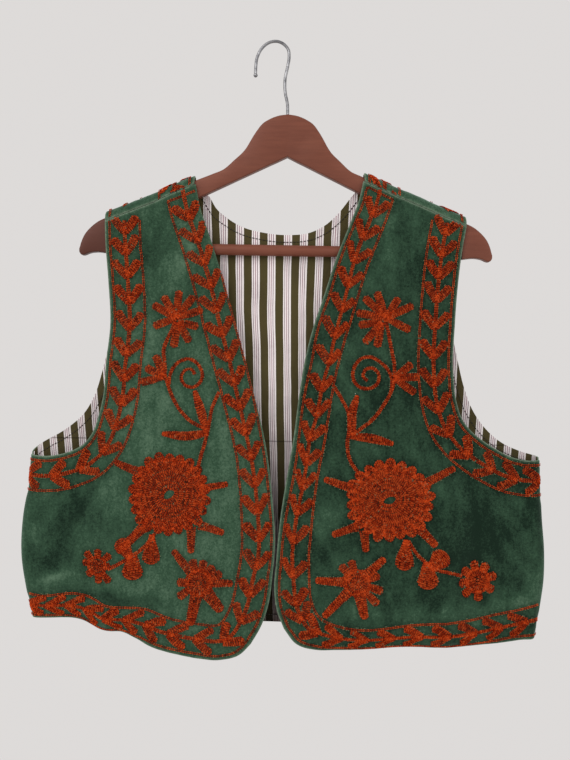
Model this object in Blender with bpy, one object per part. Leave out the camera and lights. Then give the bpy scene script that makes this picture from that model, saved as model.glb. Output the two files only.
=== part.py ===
"""Embroidered velvet waistcoat, hanging flat on a wooden hanger with a wire hook.

The garment faces -Y, so the wearer's right is at -X and the wearer's left at +X. Lengths are millimetres
until a mesh is made. Each cloth panel is an outline cut from flat cloth, in two directions: `across` runs
from the middle towards the side of the body, and `along` runs up the cloth. The drape functions lay that
flat cloth over the hanger, round the side of the body and under at the hem, and what lies on a panel is
made from the same functions, moved out.
"""

import math
from collections import namedtuple

import bmesh
import bpy
import numpy as np
from mathutils import Vector
from mathutils.geometry import delaunay_2d_cdt

MM = 0.001
SEAM_GAP = 0.3

# The hook's crown rests at the origin, and the hanger's middle lies this far to its side.
HANGER_MIDDLE_X = 15.5

# ---- hanger ---------------------------------------------------------------------------------------------
HANGER_HALF_THICKNESS = 6.0
HANGER_TOP_ROUNDING = 5.0
HANGER_UNDERSIDE_ROUNDING = 1.5
SHOULDER_SLOPE = 0.436
SHOULDER_START = (96.0, -150.0)
BAR_RADIUS = 6.0
BAR_HEIGHT = -225.0
BAR_END = 189.7
BAR_SIDES = 16
WIRE_RADIUS = 1.65
WIRE_RESOLUTION = 2

HangerSection = namedtuple("HangerSection", "across top underside")
HANGER_SECTIONS = (
    HangerSection(0.0, -78.0, -124.0),
    HangerSection(10.0, -79.5, -129.0),
    HangerSection(20.0, -83.5, -133.7),
    HangerSection(28.0, -89.0, -137.6),
    HangerSection(35.0, -98.5, -141.0),
    HangerSection(46.0, -117.0, -146.3),
    HangerSection(57.0, -128.0, -151.6),
    HangerSection(68.0, -138.0, -157.0),
    HangerSection(80.0, -143.5, -162.8),
    HangerSection(96.0, -150.0, -170.6),
    HangerSection(140.0, -169.2, -191.9),
    HangerSection(190.0, -191.0, -216.2),
    HangerSection(190.2, -191.1, -231.5),
    HangerSection(203.0, -197.0, -230.0),
    HangerSection(211.0, -203.5, -231.0),
    HangerSection(217.5, -211.5, -233.5),
    HangerSection(221.0, -220.0, -233.0),
    HangerSection(222.5, -226.0, -230.5),
)

# The wire's centre line, from the free end over the crown and down to the wood.
HookPoint = namedtuple("HookPoint", "across height")
HOOK_ROUTE = (
    HookPoint(-36.0, -38.0),
    HookPoint(-36.0, -28.0),
    HookPoint(-34.5, -16.0),
    HookPoint(-29.0, -5.5),
    HookPoint(-20.5, 0.6),
    HookPoint(-13.0, 1.4),
    HookPoint(-6.0, -1.5),
    HookPoint(-1.0, -7.5),
    HookPoint(0.0, -15.0),
    HookPoint(-1.5, -26.0),
    HookPoint(-4.0, -40.0),
    HookPoint(-3.5, -54.0),
    HookPoint(-1.0, -66.0),
    HookPoint(-0.5, -77.7),
)
HOOK_STEP = 5.5

# ---- cloth ----------------------------------------------------------------------------------------------
VELVET_FRONT_THICKNESS = 2.0
VELVET_BACK_THICKNESS = 1.6
LINING_THICKNESS = 1.0
SIDE_RADIUS = 9.0
BOW_REACH = 110.0
ROLL_RADIUS = 9.4
SEAM_BELOW_ROLL = 1.3
HEM_CURL_LENGTH = 38.0
# Folds die out towards the side seam: they end this far before it, over this distance.
FOLD_END = 4.0
FOLD_FADE = 20.0
# A fold reaches its full depth after this share of its length.
FOLD_ONSET = 0.625
# The back's armhole starts this far above the front's, and its neck this far inside the front's edge.
BACK_UNDERARM_LIFT = 2.0
BACK_NECK_INSET = 1.5
NORMAL_STEP = 0.05

# How far above the hanger the shoulder's ridge lies, at each side.
RidgeRow = namedtuple("RidgeRow", "across right left")
RIDGE_LIFT = (
    RidgeRow(84.0, 5.2, 5.2),
    RidgeRow(122.0, 6.3, 5.3),
    RidgeRow(144.0, 5.0, 6.0),
    RidgeRow(164.0, 5.6, 6.2),
    RidgeRow(196.0, 6.8, 7.4),
)

# The depth of the cloth's outer face in front of and behind the middle plane.
DepthRow = namedtuple("DepthRow", "height front back")
DEPTHS = (
    DepthRow(-664.0, 20.0, 12.0),
    DepthRow(-600.0, 19.0, 12.0),
    DepthRow(-520.0, 17.0, 11.5),
    DepthRow(-440.0, 14.5, 11.0),
    DepthRow(-330.0, 12.0, 10.0),
    DepthRow(-240.0, 10.2, 9.6),
    DepthRow(-190.0, 9.5, 9.4),
    DepthRow(-140.0, 9.5, 9.4),
)

Cut = namedtuple("Cut", "sign edge hem side armhole back_armhole curl folds")
Row = namedtuple("Row", "across height")
Width = namedtuple("Width", "height across")
Curl = namedtuple("Curl", "across degrees")
Fold = namedtuple("Fold", "top_across top_height across height half_width depth")


def rows(kind, *values):
    """One row of a table for each group of values."""
    return tuple(kind(*row) for row in values)


RIGHT = Cut(
    sign=-1,
    edge=rows(
        Row, (98, -157), (93, -180), (83, -209), (68, -254), (50, -315), (31, -382), (18, -434),
        (10, -488), (6, -541), (8, -573), (12, -605), (19, -627), (30, -647),
    ),
    hem=rows(
        Row, (30, -647), (43, -660), (64, -666), (105, -662), (148, -652), (180, -643), (203, -634),
        (235, -627), (267, -625),
    ),
    side=rows(
        Width, (-640, 267), (-623, 267), (-596, 273), (-560, 279), (-516, 278), (-483, 273), (-449, 271),
    ),
    armhole=rows(
        Row, (254, -451), (232, -447), (213, -437), (204, -425), (198, -408), (193, -385), (191, -352),
        (187, -308), (190, -262), (194, -219), (195, -198),
    ),
    back_armhole=rows(
        Row, (259, -436), (237, -423), (216, -404), (206, -386), (198, -360), (191, -328), (186, -300),
        (188, -262), (192, -219), (195, -198),
    ),
    curl=rows(
        Curl, (0, 0), (40, 10), (110, 14), (150, 26), (185, 50), (212, 50), (235, 36), (254, 14), (268, 0),
    ),
    folds=rows(
        Fold, (150, -215, 175, -620, 48, 2.4), (95, -330, 62, -650, 42, -1.8),
        (212, -480, 203, -625, 34, -2.0), (250, -480, 243, -620, 34, 1.2),
    ),
)
LEFT = Cut(
    sign=1,
    edge=rows(
        Row, (82, -157), (78, -169), (68, -197), (55, -231), (43, -270), (30, -311), (22, -346),
        (17, -381), (12, -425), (4, -477), (-1, -514), (-4.5, -560), (-6, -589), (-3, -610), (5, -630),
    ),
    hem=rows(
        Row, (5, -630), (18, -646), (40, -653), (97, -650), (150, -647), (203, -643), (240, -639),
        (276, -637),
    ),
    side=rows(
        Width, (-660, 276), (-638, 276), (-608, 280), (-575, 284), (-544, 284), (-510, 281), (-475, 279),
        (-446, 278),
    ),
    armhole=rows(
        Row, (262, -447), (245, -443), (229, -435), (213, -425), (201, -415), (192, -403), (186, -386),
        (182, -356), (183, -300), (186, -255), (190, -220), (194, -198),
    ),
    back_armhole=rows(
        Row, (259, -438), (237, -428), (219, -412), (206, -393), (197, -370), (190, -343), (184, -315),
        (181, -292), (184, -250), (188, -220), (194, -198),
    ),
    curl=rows(
        Curl, (0, 0), (25, 10), (60, 30), (100, 48), (150, 54), (205, 50), (235, 34), (258, 14), (272, 0),
    ),
    folds=rows(
        Fold, (140, -230, 168, -620, 50, 2.4), (84, -360, 72, -640, 40, -1.8),
        (228, -470, 216, -630, 36, -2.2), (262, -480, 250, -620, 26, 1.2),
    ),
)
BACK_NECK = rows(
    Row, (-91, -158), (-85, -166), (-76, -180), (-64, -190), (-48, -199), (-24, -205), (2, -207),
    (26, -204), (42, -196), (57, -182), (70, -165), (75, -158),
)
BACK_HEM = rows(Row, (-267, -623), (-150, -627), (0, -629), (150, -633), (276, -637))
BACK_FOLDS = rows(
    Fold, (-130, -260, -150, -630, 60, 1.6), (-30, -250, -45, -630, 55, -1.0),
    (70, -250, 85, -630, 60, 1.4), (190, -450, 200, -630, 45, -1.2),
)

# ---- how finely the cloth is divided ---------------------------------------------------------------------
EDGE_STEP = 14.5
GRID_STEP = 18.0
BACK_EDGE_STEP = 17.0
BACK_GRID_STEP = 34.0
# Rows of points this far in from the side seam and the hem, where the cloth bends.
SIDE_ROWS = (4.7, 9.4, 14.6)
HEM_ROWS = (8.0, 17.0, 27.0, 38.0)
# Rows of points over the shoulder, in degrees of its roll, and how far they reach across.
ROLL_TURNS = (0.0, 36.0, 72.0, 108.0, 144.0, 180.0)
ROLL_ROW_START = 78.0
ROLL_ROW_END = 194.0
ROLL_ROW_POINTS = 9
# Grid points keep this far from the outline, and this share of a step from other points.
EDGE_CLEARANCE = 3.0
GRID_CLEARANCE = 0.62
SAME_POINT = 0.5

# ---- embroidery -----------------------------------------------------------------------------------------
STITCH_LIFT = 0.55
STITCH_THICKNESS = 1.3
STITCH_GRID_STEP = 20.0
STITCH_GRID_CLEARANCE = 0.4
BORDER_INSET = 21.5
LEAF_PITCH = 26.0
LEAF_BEHIND = 20.0
STEM_WIDTH = 3.0
STEM_STEP = 10.0
STEM_END = 5.0
STEM_FROM = 2.2
STEM_TO = 3.2
# A pair of leaves about the place where they meet the stem: sideways and onward.
CHEVRON = (
    (0.0, 4.0), (-15.0, -12.0), (-14.2, -18.5), (-9.0, -19.0),
    (0.0, -5.0), (9.0, -19.0), (14.2, -18.5), (15.0, -12.0),
)
# Chevrons that run more across the cloth than this lie on the hem, whose curl their edges follow.
CURLED_HEADING = 0.5
LONGEST_CURLED_EDGE = 9.0
# A leaf's half width, as a share of its width, at two places along it.
LEAF_PROFILE = ((0.42, 0.50), (0.88, 0.40))
LEAF_WIDTH = 11.0
BELL_WIDTH = 16.0
DROP_WIDTH = 18.0
SPIKE_WIDTH = 12.0
STAR_SPIKE_WIDTH = 9.6
FINGER_WIDTH = 7.2
KNOT_RADIUS = 4.0
# How much of the way to a spike's tip its root lies, from the middle of the flower.
SPIKE_ROOT = 0.7
STAR_SPIKE_ROOT = 0.2

# A flower's petals, and how deep the notches between them are as a share of its radius.
Flower = namedtuple("Flower", "radius petals notch")
ROSETTE = Flower(43.5, 22, 0.12)
STAR = Flower(19.0, 9, 0.30)
SIDE_FLOWER = Flower(17.0, 8, 0.30)
KNOT = Flower(KNOT_RADIUS, 3, 0.0)

# The spiral beside the stem: its middle from the stem's third last point, its radii and its turns.
SPIRAL_ASIDE = (-21.0, -1.0)
SPIRAL_OUTER = 20.0
SPIRAL_INNER = 5.0
SPIRAL_TURNS = 1.35

# The motifs of each front, on the flat cloth: across and height.
Motifs = namedtuple("Motifs", "rosette spikes star star_tips side_flower blossom bud bells drop leaves stem")
RIGHT_MOTIFS = Motifs(
    rosette=(120, -489),
    spikes=((177, -455), (57, -478), (60, -528), (92, -553), (172, -553)),
    star=(86, -584),
    star_tips=((114, -547), (49, -581), (61, -612), (94, -619)),
    side_flower=(194, -565),
    blossom=(119, -302),
    bud=((126, -359), ((150, -370), (146, -351), (134, -342))),
    bells=((156, -552, 168, -577), (156, -552, 145, -577)),
    drop=(137, -533, 137, -561),
    leaves=((81, -424, 97, -377), (81, -424, 127, -424)),
    stem=(
        (85, -457), (83.5, -444), (82, -424), (104, -404), (118, -383), (124, -360), (124, -335), (119, -306),
    ),
)
LEFT_MOTIFS = Motifs(
    rosette=(116, -491),
    spikes=((45, -470), (183, -457), (54, -529), (90, -549), (164, -539)),
    star=(82, -578),
    star_tips=((38, -576), (109, -552), (46, -613), (92, -614)),
    side_flower=(210, -573),
    blossom=(106, -300),
    bud=((117, -354), ((137, -347), (141, -360), (139, -375))),
    bells=((153, -555, 145, -582), (153, -555, 168, -581)),
    drop=(134, -533, 133, -566),
    leaves=((74, -424, 78, -380), (74, -424, 116, -430)),
    stem=(
        (77, -461), (71.5, -444), (74, -424), (92, -408), (108, -388), (115, -363), (117, -338), (107, -304),
    ),
)
Finger = namedtuple("Finger", "across up")
BLOSSOM_FINGERS = rows(
    Finger, (25.0, 13.0), (13.0, 21.0), (-6.0, 27.0), (-20.0, 21.5), (-27.5, 7.5), (23.0, -11.0),
    (-24.0, -8.0), (-18.0, -24.5), (-4.0, -29.5),
)
BLOSSOM_SCALE = 0.9
# The lower fingers spring from beside the blossom's middle.
BLOSSOM_CALYX = np.array([-2.0, -2.0])
CALYX_BELOW = -5.0

# ---- finishes -------------------------------------------------------------------------------------------
SHARP_ANGLE = math.radians(40.0)
# Linear red, green and blue, roughness and metallic.
COLOURS = {
    "velvet": (0.030, 0.115, 0.066, 0.95, 0.0),
    "lining": (0.36, 0.33, 0.30, 0.9, 0.0),
    "thread": (0.42, 0.072, 0.018, 0.9, 0.0),
    "wood": (0.19, 0.060, 0.040, 0.55, 0.0),
    "wire": (0.42, 0.42, 0.43, 0.35, 1.0),
}


# ---- curves ---------------------------------------------------------------------------------------------
def smooth_line(points, step):
    """Points about `step` apart on a smooth curve through the given ones, both ends kept."""
    points = np.asarray(points, float)
    chord = np.linalg.norm(np.diff(points, axis=0), axis=1)
    knots = np.concatenate([[0.0], np.cumsum(chord)])
    slopes = np.gradient(points, knots, axis=0)
    count = max(2, round(knots[-1] / step) + 1)
    at = np.linspace(0.0, knots[-1], count)
    left = np.clip(np.searchsorted(knots, at, side="right") - 1, 0, len(chord) - 1)
    length = chord[left][:, None]
    part = ((at - knots[left]) / chord[left])[:, None]
    return (
        (2 * part**3 - 3 * part**2 + 1) * points[left]
        + (part**3 - 2 * part**2 + part) * length * slopes[left]
        + (3 * part**2 - 2 * part**3) * points[left + 1]
        + (part**3 - part**2) * length * slopes[left + 1]
    )


def directions(line):
    """The unit direction of a line at each of its points."""
    slope = np.gradient(line, axis=0)
    return slope / np.linalg.norm(slope, axis=1)[:, None]


def turned_left(direction):
    """Directions turned a quarter turn anticlockwise."""
    return np.stack([-direction[..., 1], direction[..., 0]], axis=-1)


def points_along(line, distances):
    """The points and directions at the given distances along a line."""
    knots = np.concatenate([[0.0], np.cumsum(np.linalg.norm(np.diff(line, axis=0), axis=1))])
    heading = directions(line)
    at = np.stack([np.interp(distances, knots, line[:, axis]) for axis in (0, 1)], axis=1)
    facing = np.stack([np.interp(distances, knots, heading[:, axis]) for axis in (0, 1)], axis=1)
    return at, facing / np.linalg.norm(facing, axis=1)[:, None]


def line_length(line):
    """The length of a line of points."""
    return float(np.linalg.norm(np.diff(line, axis=0), axis=1).sum())


def smooth_step(value):
    """0 below 0, 1 above 1, and a smooth rise between."""
    part = np.clip(value, 0.0, 1.0)
    return part * part * (3.0 - 2.0 * part)


def column(table, name):
    """One column of a table as an array."""
    return np.array([getattr(row, name) for row in table], float)


def looked_up(table, key, value, at):
    """A table's column read between its rows."""
    keys = column(table, key)
    order = np.argsort(keys)
    return np.interp(at, keys[order], column(table, value)[order])


# ---- drape ----------------------------------------------------------------------------------------------
def fold_relief(folds, across, height):
    """How far soft folds stand out of the cloth: a fold fades in down its length and stays to the hem."""
    relief = np.zeros(np.broadcast(across, height).shape)
    for fold in folds:
        run = (fold.top_height - height) / (fold.top_height - fold.height)
        middle = fold.top_across + (fold.across - fold.top_across) * run
        off = np.clip((across - middle) / fold.half_width, -1.0, 1.0)
        relief += fold.depth * (0.5 + 0.5 * np.cos(math.pi * off)) * smooth_step(run / FOLD_ONSET)
    return relief


def half_width(cut, height):
    """Half the body's width at a height."""
    return looked_up(cut.side, "height", "across", height)


def fold_fade(cut, across, height):
    """How much of a fold's depth is left: 1 over most of the panel, 0 where it nears the side."""
    return smooth_step((half_width(cut, height) - FOLD_END - across) / FOLD_FADE)


def side_end(cut, height):
    """How far across the cloth the side seam lies, once the cloth has gone round the side."""
    return half_width(cut, height) + (math.pi / 2 - 1.0) * SIDE_RADIUS


def flattened(cut, across, height):
    """How far across the flat cloth a point of the draped cloth lies, undoing the turn round the side."""
    bend_start = half_width(cut, height) - SIDE_RADIUS
    past = np.clip((across - bend_start) / SIDE_RADIUS, 0.0, 1.0)
    return np.minimum(across, bend_start) + SIDE_RADIUS * np.arcsin(past)


def hem_curl(cut, across, along):
    """How far the hem's curl lifts the cloth and draws it in."""
    angle = np.radians(looked_up(cut.curl, "across", "degrees", across))
    hem_height = looked_up(cut.hem, "across", "height", np.maximum(across, cut.hem[2].across))
    hem_along = hem_height - HEM_CURL_LENGTH * (1.0 - np.sinc(angle / math.pi))
    past = np.clip(hem_along + HEM_CURL_LENGTH - along, 0.0, HEM_CURL_LENGTH)
    turn = angle * past / HEM_CURL_LENGTH
    lift = past * (1.0 - np.sinc(turn / math.pi))
    drawn_in = past * np.sin(turn / 2.0) * np.sinc(turn / (2.0 * math.pi))
    return lift, drawn_in


def hem_cut(cut):
    """The hem's line on the flat cloth, longer than it looks by what the curl takes up."""
    line = []
    for row in cut.hem:
        angle = math.radians(looked_up(cut.curl, "across", "degrees", row.across))
        taken = HEM_CURL_LENGTH * (1.0 - float(np.sinc(angle / math.pi)))
        flat = float(flattened(cut, row.across, row.height))
        line.append((flat, row.height - taken))
    line[-1] = (float(side_end(cut, line[-1][1])), line[-1][1])
    return line


def round_side(cut, across, height, depth):
    """The place of the outer face in plan: flat in the middle, bowed, then round to the side seam."""
    bend_start = half_width(cut, height) - SIDE_RADIUS
    turn = np.maximum((across - bend_start) / SIDE_RADIUS, 0.0)
    sideways = np.minimum(across, bend_start) + SIDE_RADIUS * np.sin(turn)
    bow = (depth - SIDE_RADIUS) * smooth_step((bend_start - across) / BOW_REACH)
    return sideways, SEAM_GAP / 2 + SIDE_RADIUS * np.cos(turn) + bow


def front_surface(cut):
    """The outer face of one front: flat cloth coordinates in, places in space out."""

    def place(across, along):
        depth = looked_up(DEPTHS, "height", "front", along)
        sideways, out = round_side(cut, across, along, depth)
        fade = fold_fade(cut, across, along)
        lift, drawn_in = hem_curl(cut, across, along)
        out = out + fold_relief(cut.folds, across, along) * fade - drawn_in
        return np.stack([cut.sign * sideways, -out, along + lift], axis=-1)

    return place


def ridge_height(cut, across):
    """The height of the shoulder's ridge over the hanger's arm."""
    start_across, start_height = SHOULDER_START
    name = "left" if cut.sign > 0 else "right"
    lift = looked_up(RIDGE_LIFT, "across", name, across)
    return start_height - SHOULDER_SLOPE * (across - start_across) + lift


def roll_start(cut, across):
    """The height where the back leaves its flat fall and rolls over the shoulder."""
    return ridge_height(cut, across) - ROLL_RADIUS


def back_surface(across, along):
    """The outer face of the back: it goes round both sides, and over the shoulders to the seam in front."""
    place = np.zeros((*np.shape(across), 3))
    for cut in (RIGHT, LEFT):
        here = (across * cut.sign) >= 0.0
        sideways = np.abs(across[here])
        height = along[here]
        start = roll_start(cut, sideways)
        turn = np.clip((height - start) / ROLL_RADIUS, 0.0, math.pi)
        beyond = np.maximum(height - start - math.pi * ROLL_RADIUS, 0.0)
        fall = np.minimum(height, start)
        depth = looked_up(DEPTHS, "height", "back", fall)
        outward, back = round_side(cut, sideways, fall, depth)
        back = back + fold_relief(BACK_FOLDS, across[here], fall) * fold_fade(cut, sideways, fall)
        back = np.where(turn > 0.0, ROLL_RADIUS * np.cos(turn), back)
        rise = fall + ROLL_RADIUS * np.sin(turn) - beyond
        place[here] = np.stack([cut.sign * outward, back, rise], axis=-1)
    return place


def outward_normals(place, flat, facing):
    """Unit normals of a draped face, on the side that `facing` gives at the middle of the panel."""
    across, along = flat[:, 0], flat[:, 1]
    over = place(across + NORMAL_STEP, along) - place(across - NORMAL_STEP, along)
    up = place(across, along + NORMAL_STEP) - place(across, along - NORMAL_STEP)
    normal = np.cross(over, up) * facing
    return normal / np.linalg.norm(normal, axis=1)[:, None]


# ---- meshes ---------------------------------------------------------------------------------------------
def inside(outline, points):
    """Which points lie inside a closed outline."""
    x, y = points[:, 0][:, None], points[:, 1][:, None]
    x0, y0 = outline[:, 0], outline[:, 1]
    x1, y1 = np.roll(x0, -1), np.roll(y0, -1)
    rise = np.where(y1 == y0, 1.0, y1 - y0)
    crosses = ((y0 > y) != (y1 > y)) & (x < x0 + (y - y0) / rise * (x1 - x0))
    return crosses.sum(axis=1) % 2 == 1


def grid_over(points, step, start):
    """A square grid of points over the box round some points, from `start` inside its low corner."""
    low, high = points.min(axis=0) + start, points.max(axis=0)
    grid = np.meshgrid(np.arange(low[0], high[0], step), np.arange(low[1], high[1], step))
    return np.stack(grid, axis=-1).reshape(-1, 2)


def clear_of(points, others, distance):
    """The points that keep a distance from all the others."""
    gaps = np.linalg.norm(points[:, None, :] - others[None, :, :], axis=2)
    return points[gaps.min(axis=1) > distance]


def triangulated(outlines, extra):
    """Triangles that cover one or more outlines, which may overlap, with extra points inside them."""
    points = []
    loops = []
    for outline in outlines:
        loops.append(list(range(len(points), len(points) + len(outline))))
        points.extend(Vector((float(x), float(y))) for x, y in outline)
    points.extend(Vector((float(x), float(y))) for x, y in extra)
    made = delaunay_2d_cdt(points, [], loops, 1, 1e-4)
    flat = np.array([(p.x, p.y) for p in made[0]])
    faces = np.array([list(face) for face in made[2] if len(face) == 3])
    used = np.unique(faces)
    renumber = np.full(len(flat), -1)
    renumber[used] = np.arange(len(used))
    return flat[used], renumber[faces]


def anticlockwise(flat, faces):
    """The faces, each turned so that it runs anticlockwise on the flat cloth."""
    a, b, c = (flat[faces[:, corner]] for corner in range(3))
    area = (b[:, 0] - a[:, 0]) * (c[:, 1] - a[:, 1]) - (b[:, 1] - a[:, 1]) * (c[:, 0] - a[:, 0])
    return np.where((area > 0.0)[:, None], faces, faces[:, ::-1])


def wall(name, flat, faces, place, facing, lift, thickness, finish):
    """A closed wall on a draped face: its inner side lies `lift` out from the face, and it is so thick."""
    faces = anticlockwise(flat, faces)
    if facing < 0:
        faces = faces[:, ::-1]
    middle = place(flat[:, 0], flat[:, 1])
    normal = outward_normals(place, flat, facing)
    inner = middle + normal * lift
    outer = middle + normal * (lift + thickness)
    edges = np.concatenate([faces[:, [0, 1]], faces[:, [1, 2]], faces[:, [2, 0]]])
    known = {tuple(edge) for edge in edges.tolist()}
    rim = [edge for edge in edges.tolist() if (edge[1], edge[0]) not in known]
    shift = len(flat)
    solid = faces.tolist()
    solid += [[a + shift, c + shift, b + shift] for a, b, c in faces.tolist()]
    solid += [[b, a, a + shift, b + shift] for a, b in rim]
    return made_object(name, np.concatenate([outer, inner]), solid, finish)


def made_object(name, points, faces, finish):
    """A named object from points in millimetres, shaded smooth with crisp edges."""
    mesh = bpy.data.meshes.new(name)
    mesh.from_pydata([tuple(point * MM) for point in points], [], faces)
    mesh.materials.append(material(name, finish))
    mesh.shade_smooth()
    mesh.set_sharp_from_angle(angle=SHARP_ANGLE)
    mesh.validate()
    return linked(bpy.data.objects.new(name, mesh))


def linked(thing):
    """An object in the scene, carried by the hanger's middle."""
    bpy.context.scene.collection.objects.link(thing)
    thing.parent = bpy.data.objects["hanger_middle"]
    return thing


def material(name, finish):
    """The piece's own Principled material."""
    red, green, blue, roughness, metallic = COLOURS[finish]
    made = bpy.data.materials.new(f"{name}_{finish}")
    made.use_nodes = True
    shader = made.node_tree.nodes["Principled BSDF"]
    shader.inputs["Base Color"].default_value = (red, green, blue, 1.0)
    shader.inputs["Roughness"].default_value = roughness
    shader.inputs["Metallic"].default_value = metallic
    return made


# ---- panels ---------------------------------------------------------------------------------------------
def joined(*lines):
    """Lines end to end as one closed outline, none past the side seam, without repeated points."""
    outline = []
    for line in lines:
        for across, along in line:
            cut = LEFT if across > 0.0 else RIGHT
            reach = float(side_end(cut, along))
            point = (min(max(across, -reach), reach), along)
            if not outline or math.dist(outline[-1], point) > SAME_POINT:
                outline.append(point)
    if math.dist(outline[0], outline[-1]) < SAME_POINT:
        outline.pop()
    return np.array(outline)


def side_line(cut, low, high):
    """The side seam on the flat cloth."""
    heights = np.linspace(low, high, max(3, round((high - low) / EDGE_STEP)))
    return np.stack([side_end(cut, heights), heights], axis=1)


def shoulder_line(cut, start, stop, below):
    """A line across the shoulder, so far below the start of the roll."""
    across = np.linspace(start, stop, max(3, round(abs(stop - start) / EDGE_STEP)))
    return np.stack([across, roll_start(cut, across) - below], axis=1)


def over_shoulder(cut, across):
    """Points up the back, over the shoulder and down to the seam, at one distance across."""
    start = float(roll_start(cut, across))
    ups = [start + math.radians(turn) * ROLL_RADIUS for turn in ROLL_TURNS]
    ups.append(start + math.pi * ROLL_RADIUS + SEAM_BELOW_ROLL)
    return np.array([(across, up) for up in ups])


def front_lines(cut):
    """The lines that bound one front on the flat cloth, each from the middle outwards or upwards."""
    below = SEAM_BELOW_ROLL + SEAM_GAP
    seam = shoulder_line(cut, cut.edge[0].across, cut.armhole[-1].across, below)
    edge = [tuple(seam[0])] + [tuple(row) for row in cut.edge[1:]]
    hem = hem_cut(cut)
    under = cut.side[-1].height
    armhole = [(float(side_end(cut, under)), under)] + [tuple(row) for row in cut.armhole]
    armhole[-1] = tuple(seam[-1])
    return {
        "edge": smooth_line(edge, EDGE_STEP),
        "hem": smooth_line(hem, EDGE_STEP),
        "side": side_line(cut, hem[-1][1], under),
        "armhole": smooth_line(armhole, EDGE_STEP),
        "seam": seam,
    }


def inner_rows(outline, line, insets, heading):
    """Rows of points parallel to a line, so far inside it."""
    made = [line + heading * inset for inset in insets]
    points = np.concatenate(made)
    return points[inside(outline, points)]


def filled(outline, rows_first, grid_step):
    """Points inside an outline: the rows given, and a grid that keeps clear of them and of the edge."""
    grid = grid_over(outline, grid_step, grid_step / 2)
    grid = grid[inside(outline, grid)]
    kept = clear_of(rows_first, outline, EDGE_CLEARANCE)
    grid = clear_of(grid, np.concatenate([outline, kept]), grid_step * GRID_CLEARANCE)
    return np.concatenate([kept, grid])


def front_mesh(cut):
    """The flat triangles of one front, finer where the cloth turns round the side and under at the hem."""
    lines = front_lines(cut)
    outline = joined(lines["hem"], lines["side"], lines["armhole"], lines["seam"][::-1], lines["edge"])
    inward = np.array([-1.0, 0.0])
    upward = np.array([0.0, 1.0])
    bends = np.concatenate([
        inner_rows(outline, lines["side"], SIDE_ROWS, inward),
        inner_rows(outline, lines["hem"][2:-2], HEM_ROWS, upward),
    ])
    return triangulated([outline], filled(outline, bends, GRID_STEP))


def back_outline():
    """The back's outline on the flat cloth, and its side seams."""
    halves = []
    for cut in (RIGHT, LEFT):
        bottom = BACK_HEM[0] if cut.sign < 0 else BACK_HEM[-1]
        under = cut.side[-1].height + BACK_UNDERARM_LIFT
        side = side_line(cut, bottom.height, under)
        top = -SEAM_BELOW_ROLL - math.pi * ROLL_RADIUS
        neck_end = cut.edge[0].across + BACK_NECK_INSET
        seam = shoulder_line(cut, cut.armhole[-1].across, neck_end, top)
        arm_over = over_shoulder(cut, cut.armhole[-1].across)
        armhole = [tuple(side[-1])] + [tuple(row) for row in cut.back_armhole[:-1]] + [tuple(arm_over[0])]
        armhole = np.concatenate([smooth_line(armhole, BACK_EDGE_STEP), arm_over[1:]])
        halves.append((side, armhole, seam, over_shoulder(cut, neck_end)))
    mirrored = [line * np.array([-1.0, 1.0]) for line in halves[0]]
    neck = [tuple(mirrored[3][0])] + [tuple(row) for row in BACK_NECK[1:-1]] + [tuple(halves[1][3][0])]
    neck = np.concatenate([mirrored[3][::-1], smooth_line(neck, BACK_EDGE_STEP), halves[1][3]])
    hem = [mirrored[0][0], *(tuple(row) for row in BACK_HEM[1:-1]), halves[1][0][0]]
    hem = smooth_line(hem, BACK_EDGE_STEP)
    outline = joined(
        hem, halves[1][0], halves[1][1], halves[1][2], neck[::-1],
        mirrored[2][::-1], mirrored[1][::-1], mirrored[0][::-1],
    )
    return outline, mirrored[0], halves[1][0]


def back_mesh():
    """The flat triangles of the back, finer round the sides and over the shoulders."""
    outline, right_side, left_side = back_outline()
    bends = [
        inner_rows(outline, right_side, SIDE_ROWS, np.array([1.0, 0.0])),
        inner_rows(outline, left_side, SIDE_ROWS, np.array([-1.0, 0.0])),
    ]
    for cut in (RIGHT, LEFT):
        across = np.linspace(ROLL_ROW_START, ROLL_ROW_END, ROLL_ROW_POINTS)
        for turn in ROLL_TURNS:
            up = roll_start(cut, across) + math.radians(turn) * ROLL_RADIUS
            row = np.stack([across * cut.sign, up], axis=1)
            bends.append(row[inside(outline, row)])
    extra = filled(outline, np.concatenate(bends), BACK_GRID_STEP)
    flat, faces = triangulated([levelled(outline, 1.0)], levelled(extra, 1.0))
    return levelled(flat, -1.0), faces


def levelled(flat, hand):
    """The flat back slid up (hand 1) or down (hand -1), so that the sloping shoulders lie level."""
    slope = SHOULDER_SLOPE * np.maximum(np.abs(flat[:, 0]) - SHOULDER_START[0], 0.0)
    return flat + np.stack([np.zeros(len(flat)), slope * hand], axis=1)


# ---- stitched shapes on the flat cloth ------------------------------------------------------------------
def leaf_shape(root, tip, width):
    """A pointed leaf from its root to its tip."""
    root, tip = np.array(root, float), np.array(tip, float)
    run = tip - root
    sideways = turned_left(run / np.linalg.norm(run)) * width
    right = [root + run * part - sideways * half for part, half in LEAF_PROFILE]
    left = [root + run * part + sideways * half for part, half in LEAF_PROFILE]
    return np.array([root, *right, tip, *left[::-1]])


def ribbon_shape(line, width):
    """A ribbon of even width along a line."""
    sideways = turned_left(directions(line)) * width / 2
    return np.concatenate([line - sideways, (line + sideways)[::-1]])


def flower_shape(centre, flower):
    """A round flower with scalloped petals, three points to each."""
    steps = flower.petals * 3
    turn = np.arange(steps) * (2 * math.pi / steps)
    reach = flower.radius * np.where(np.arange(steps) % 3 == 0, 1.0 - flower.notch, 1.0)
    return np.array(centre) + np.stack([np.cos(turn), np.sin(turn)], axis=1) * reach[:, None]


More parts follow.
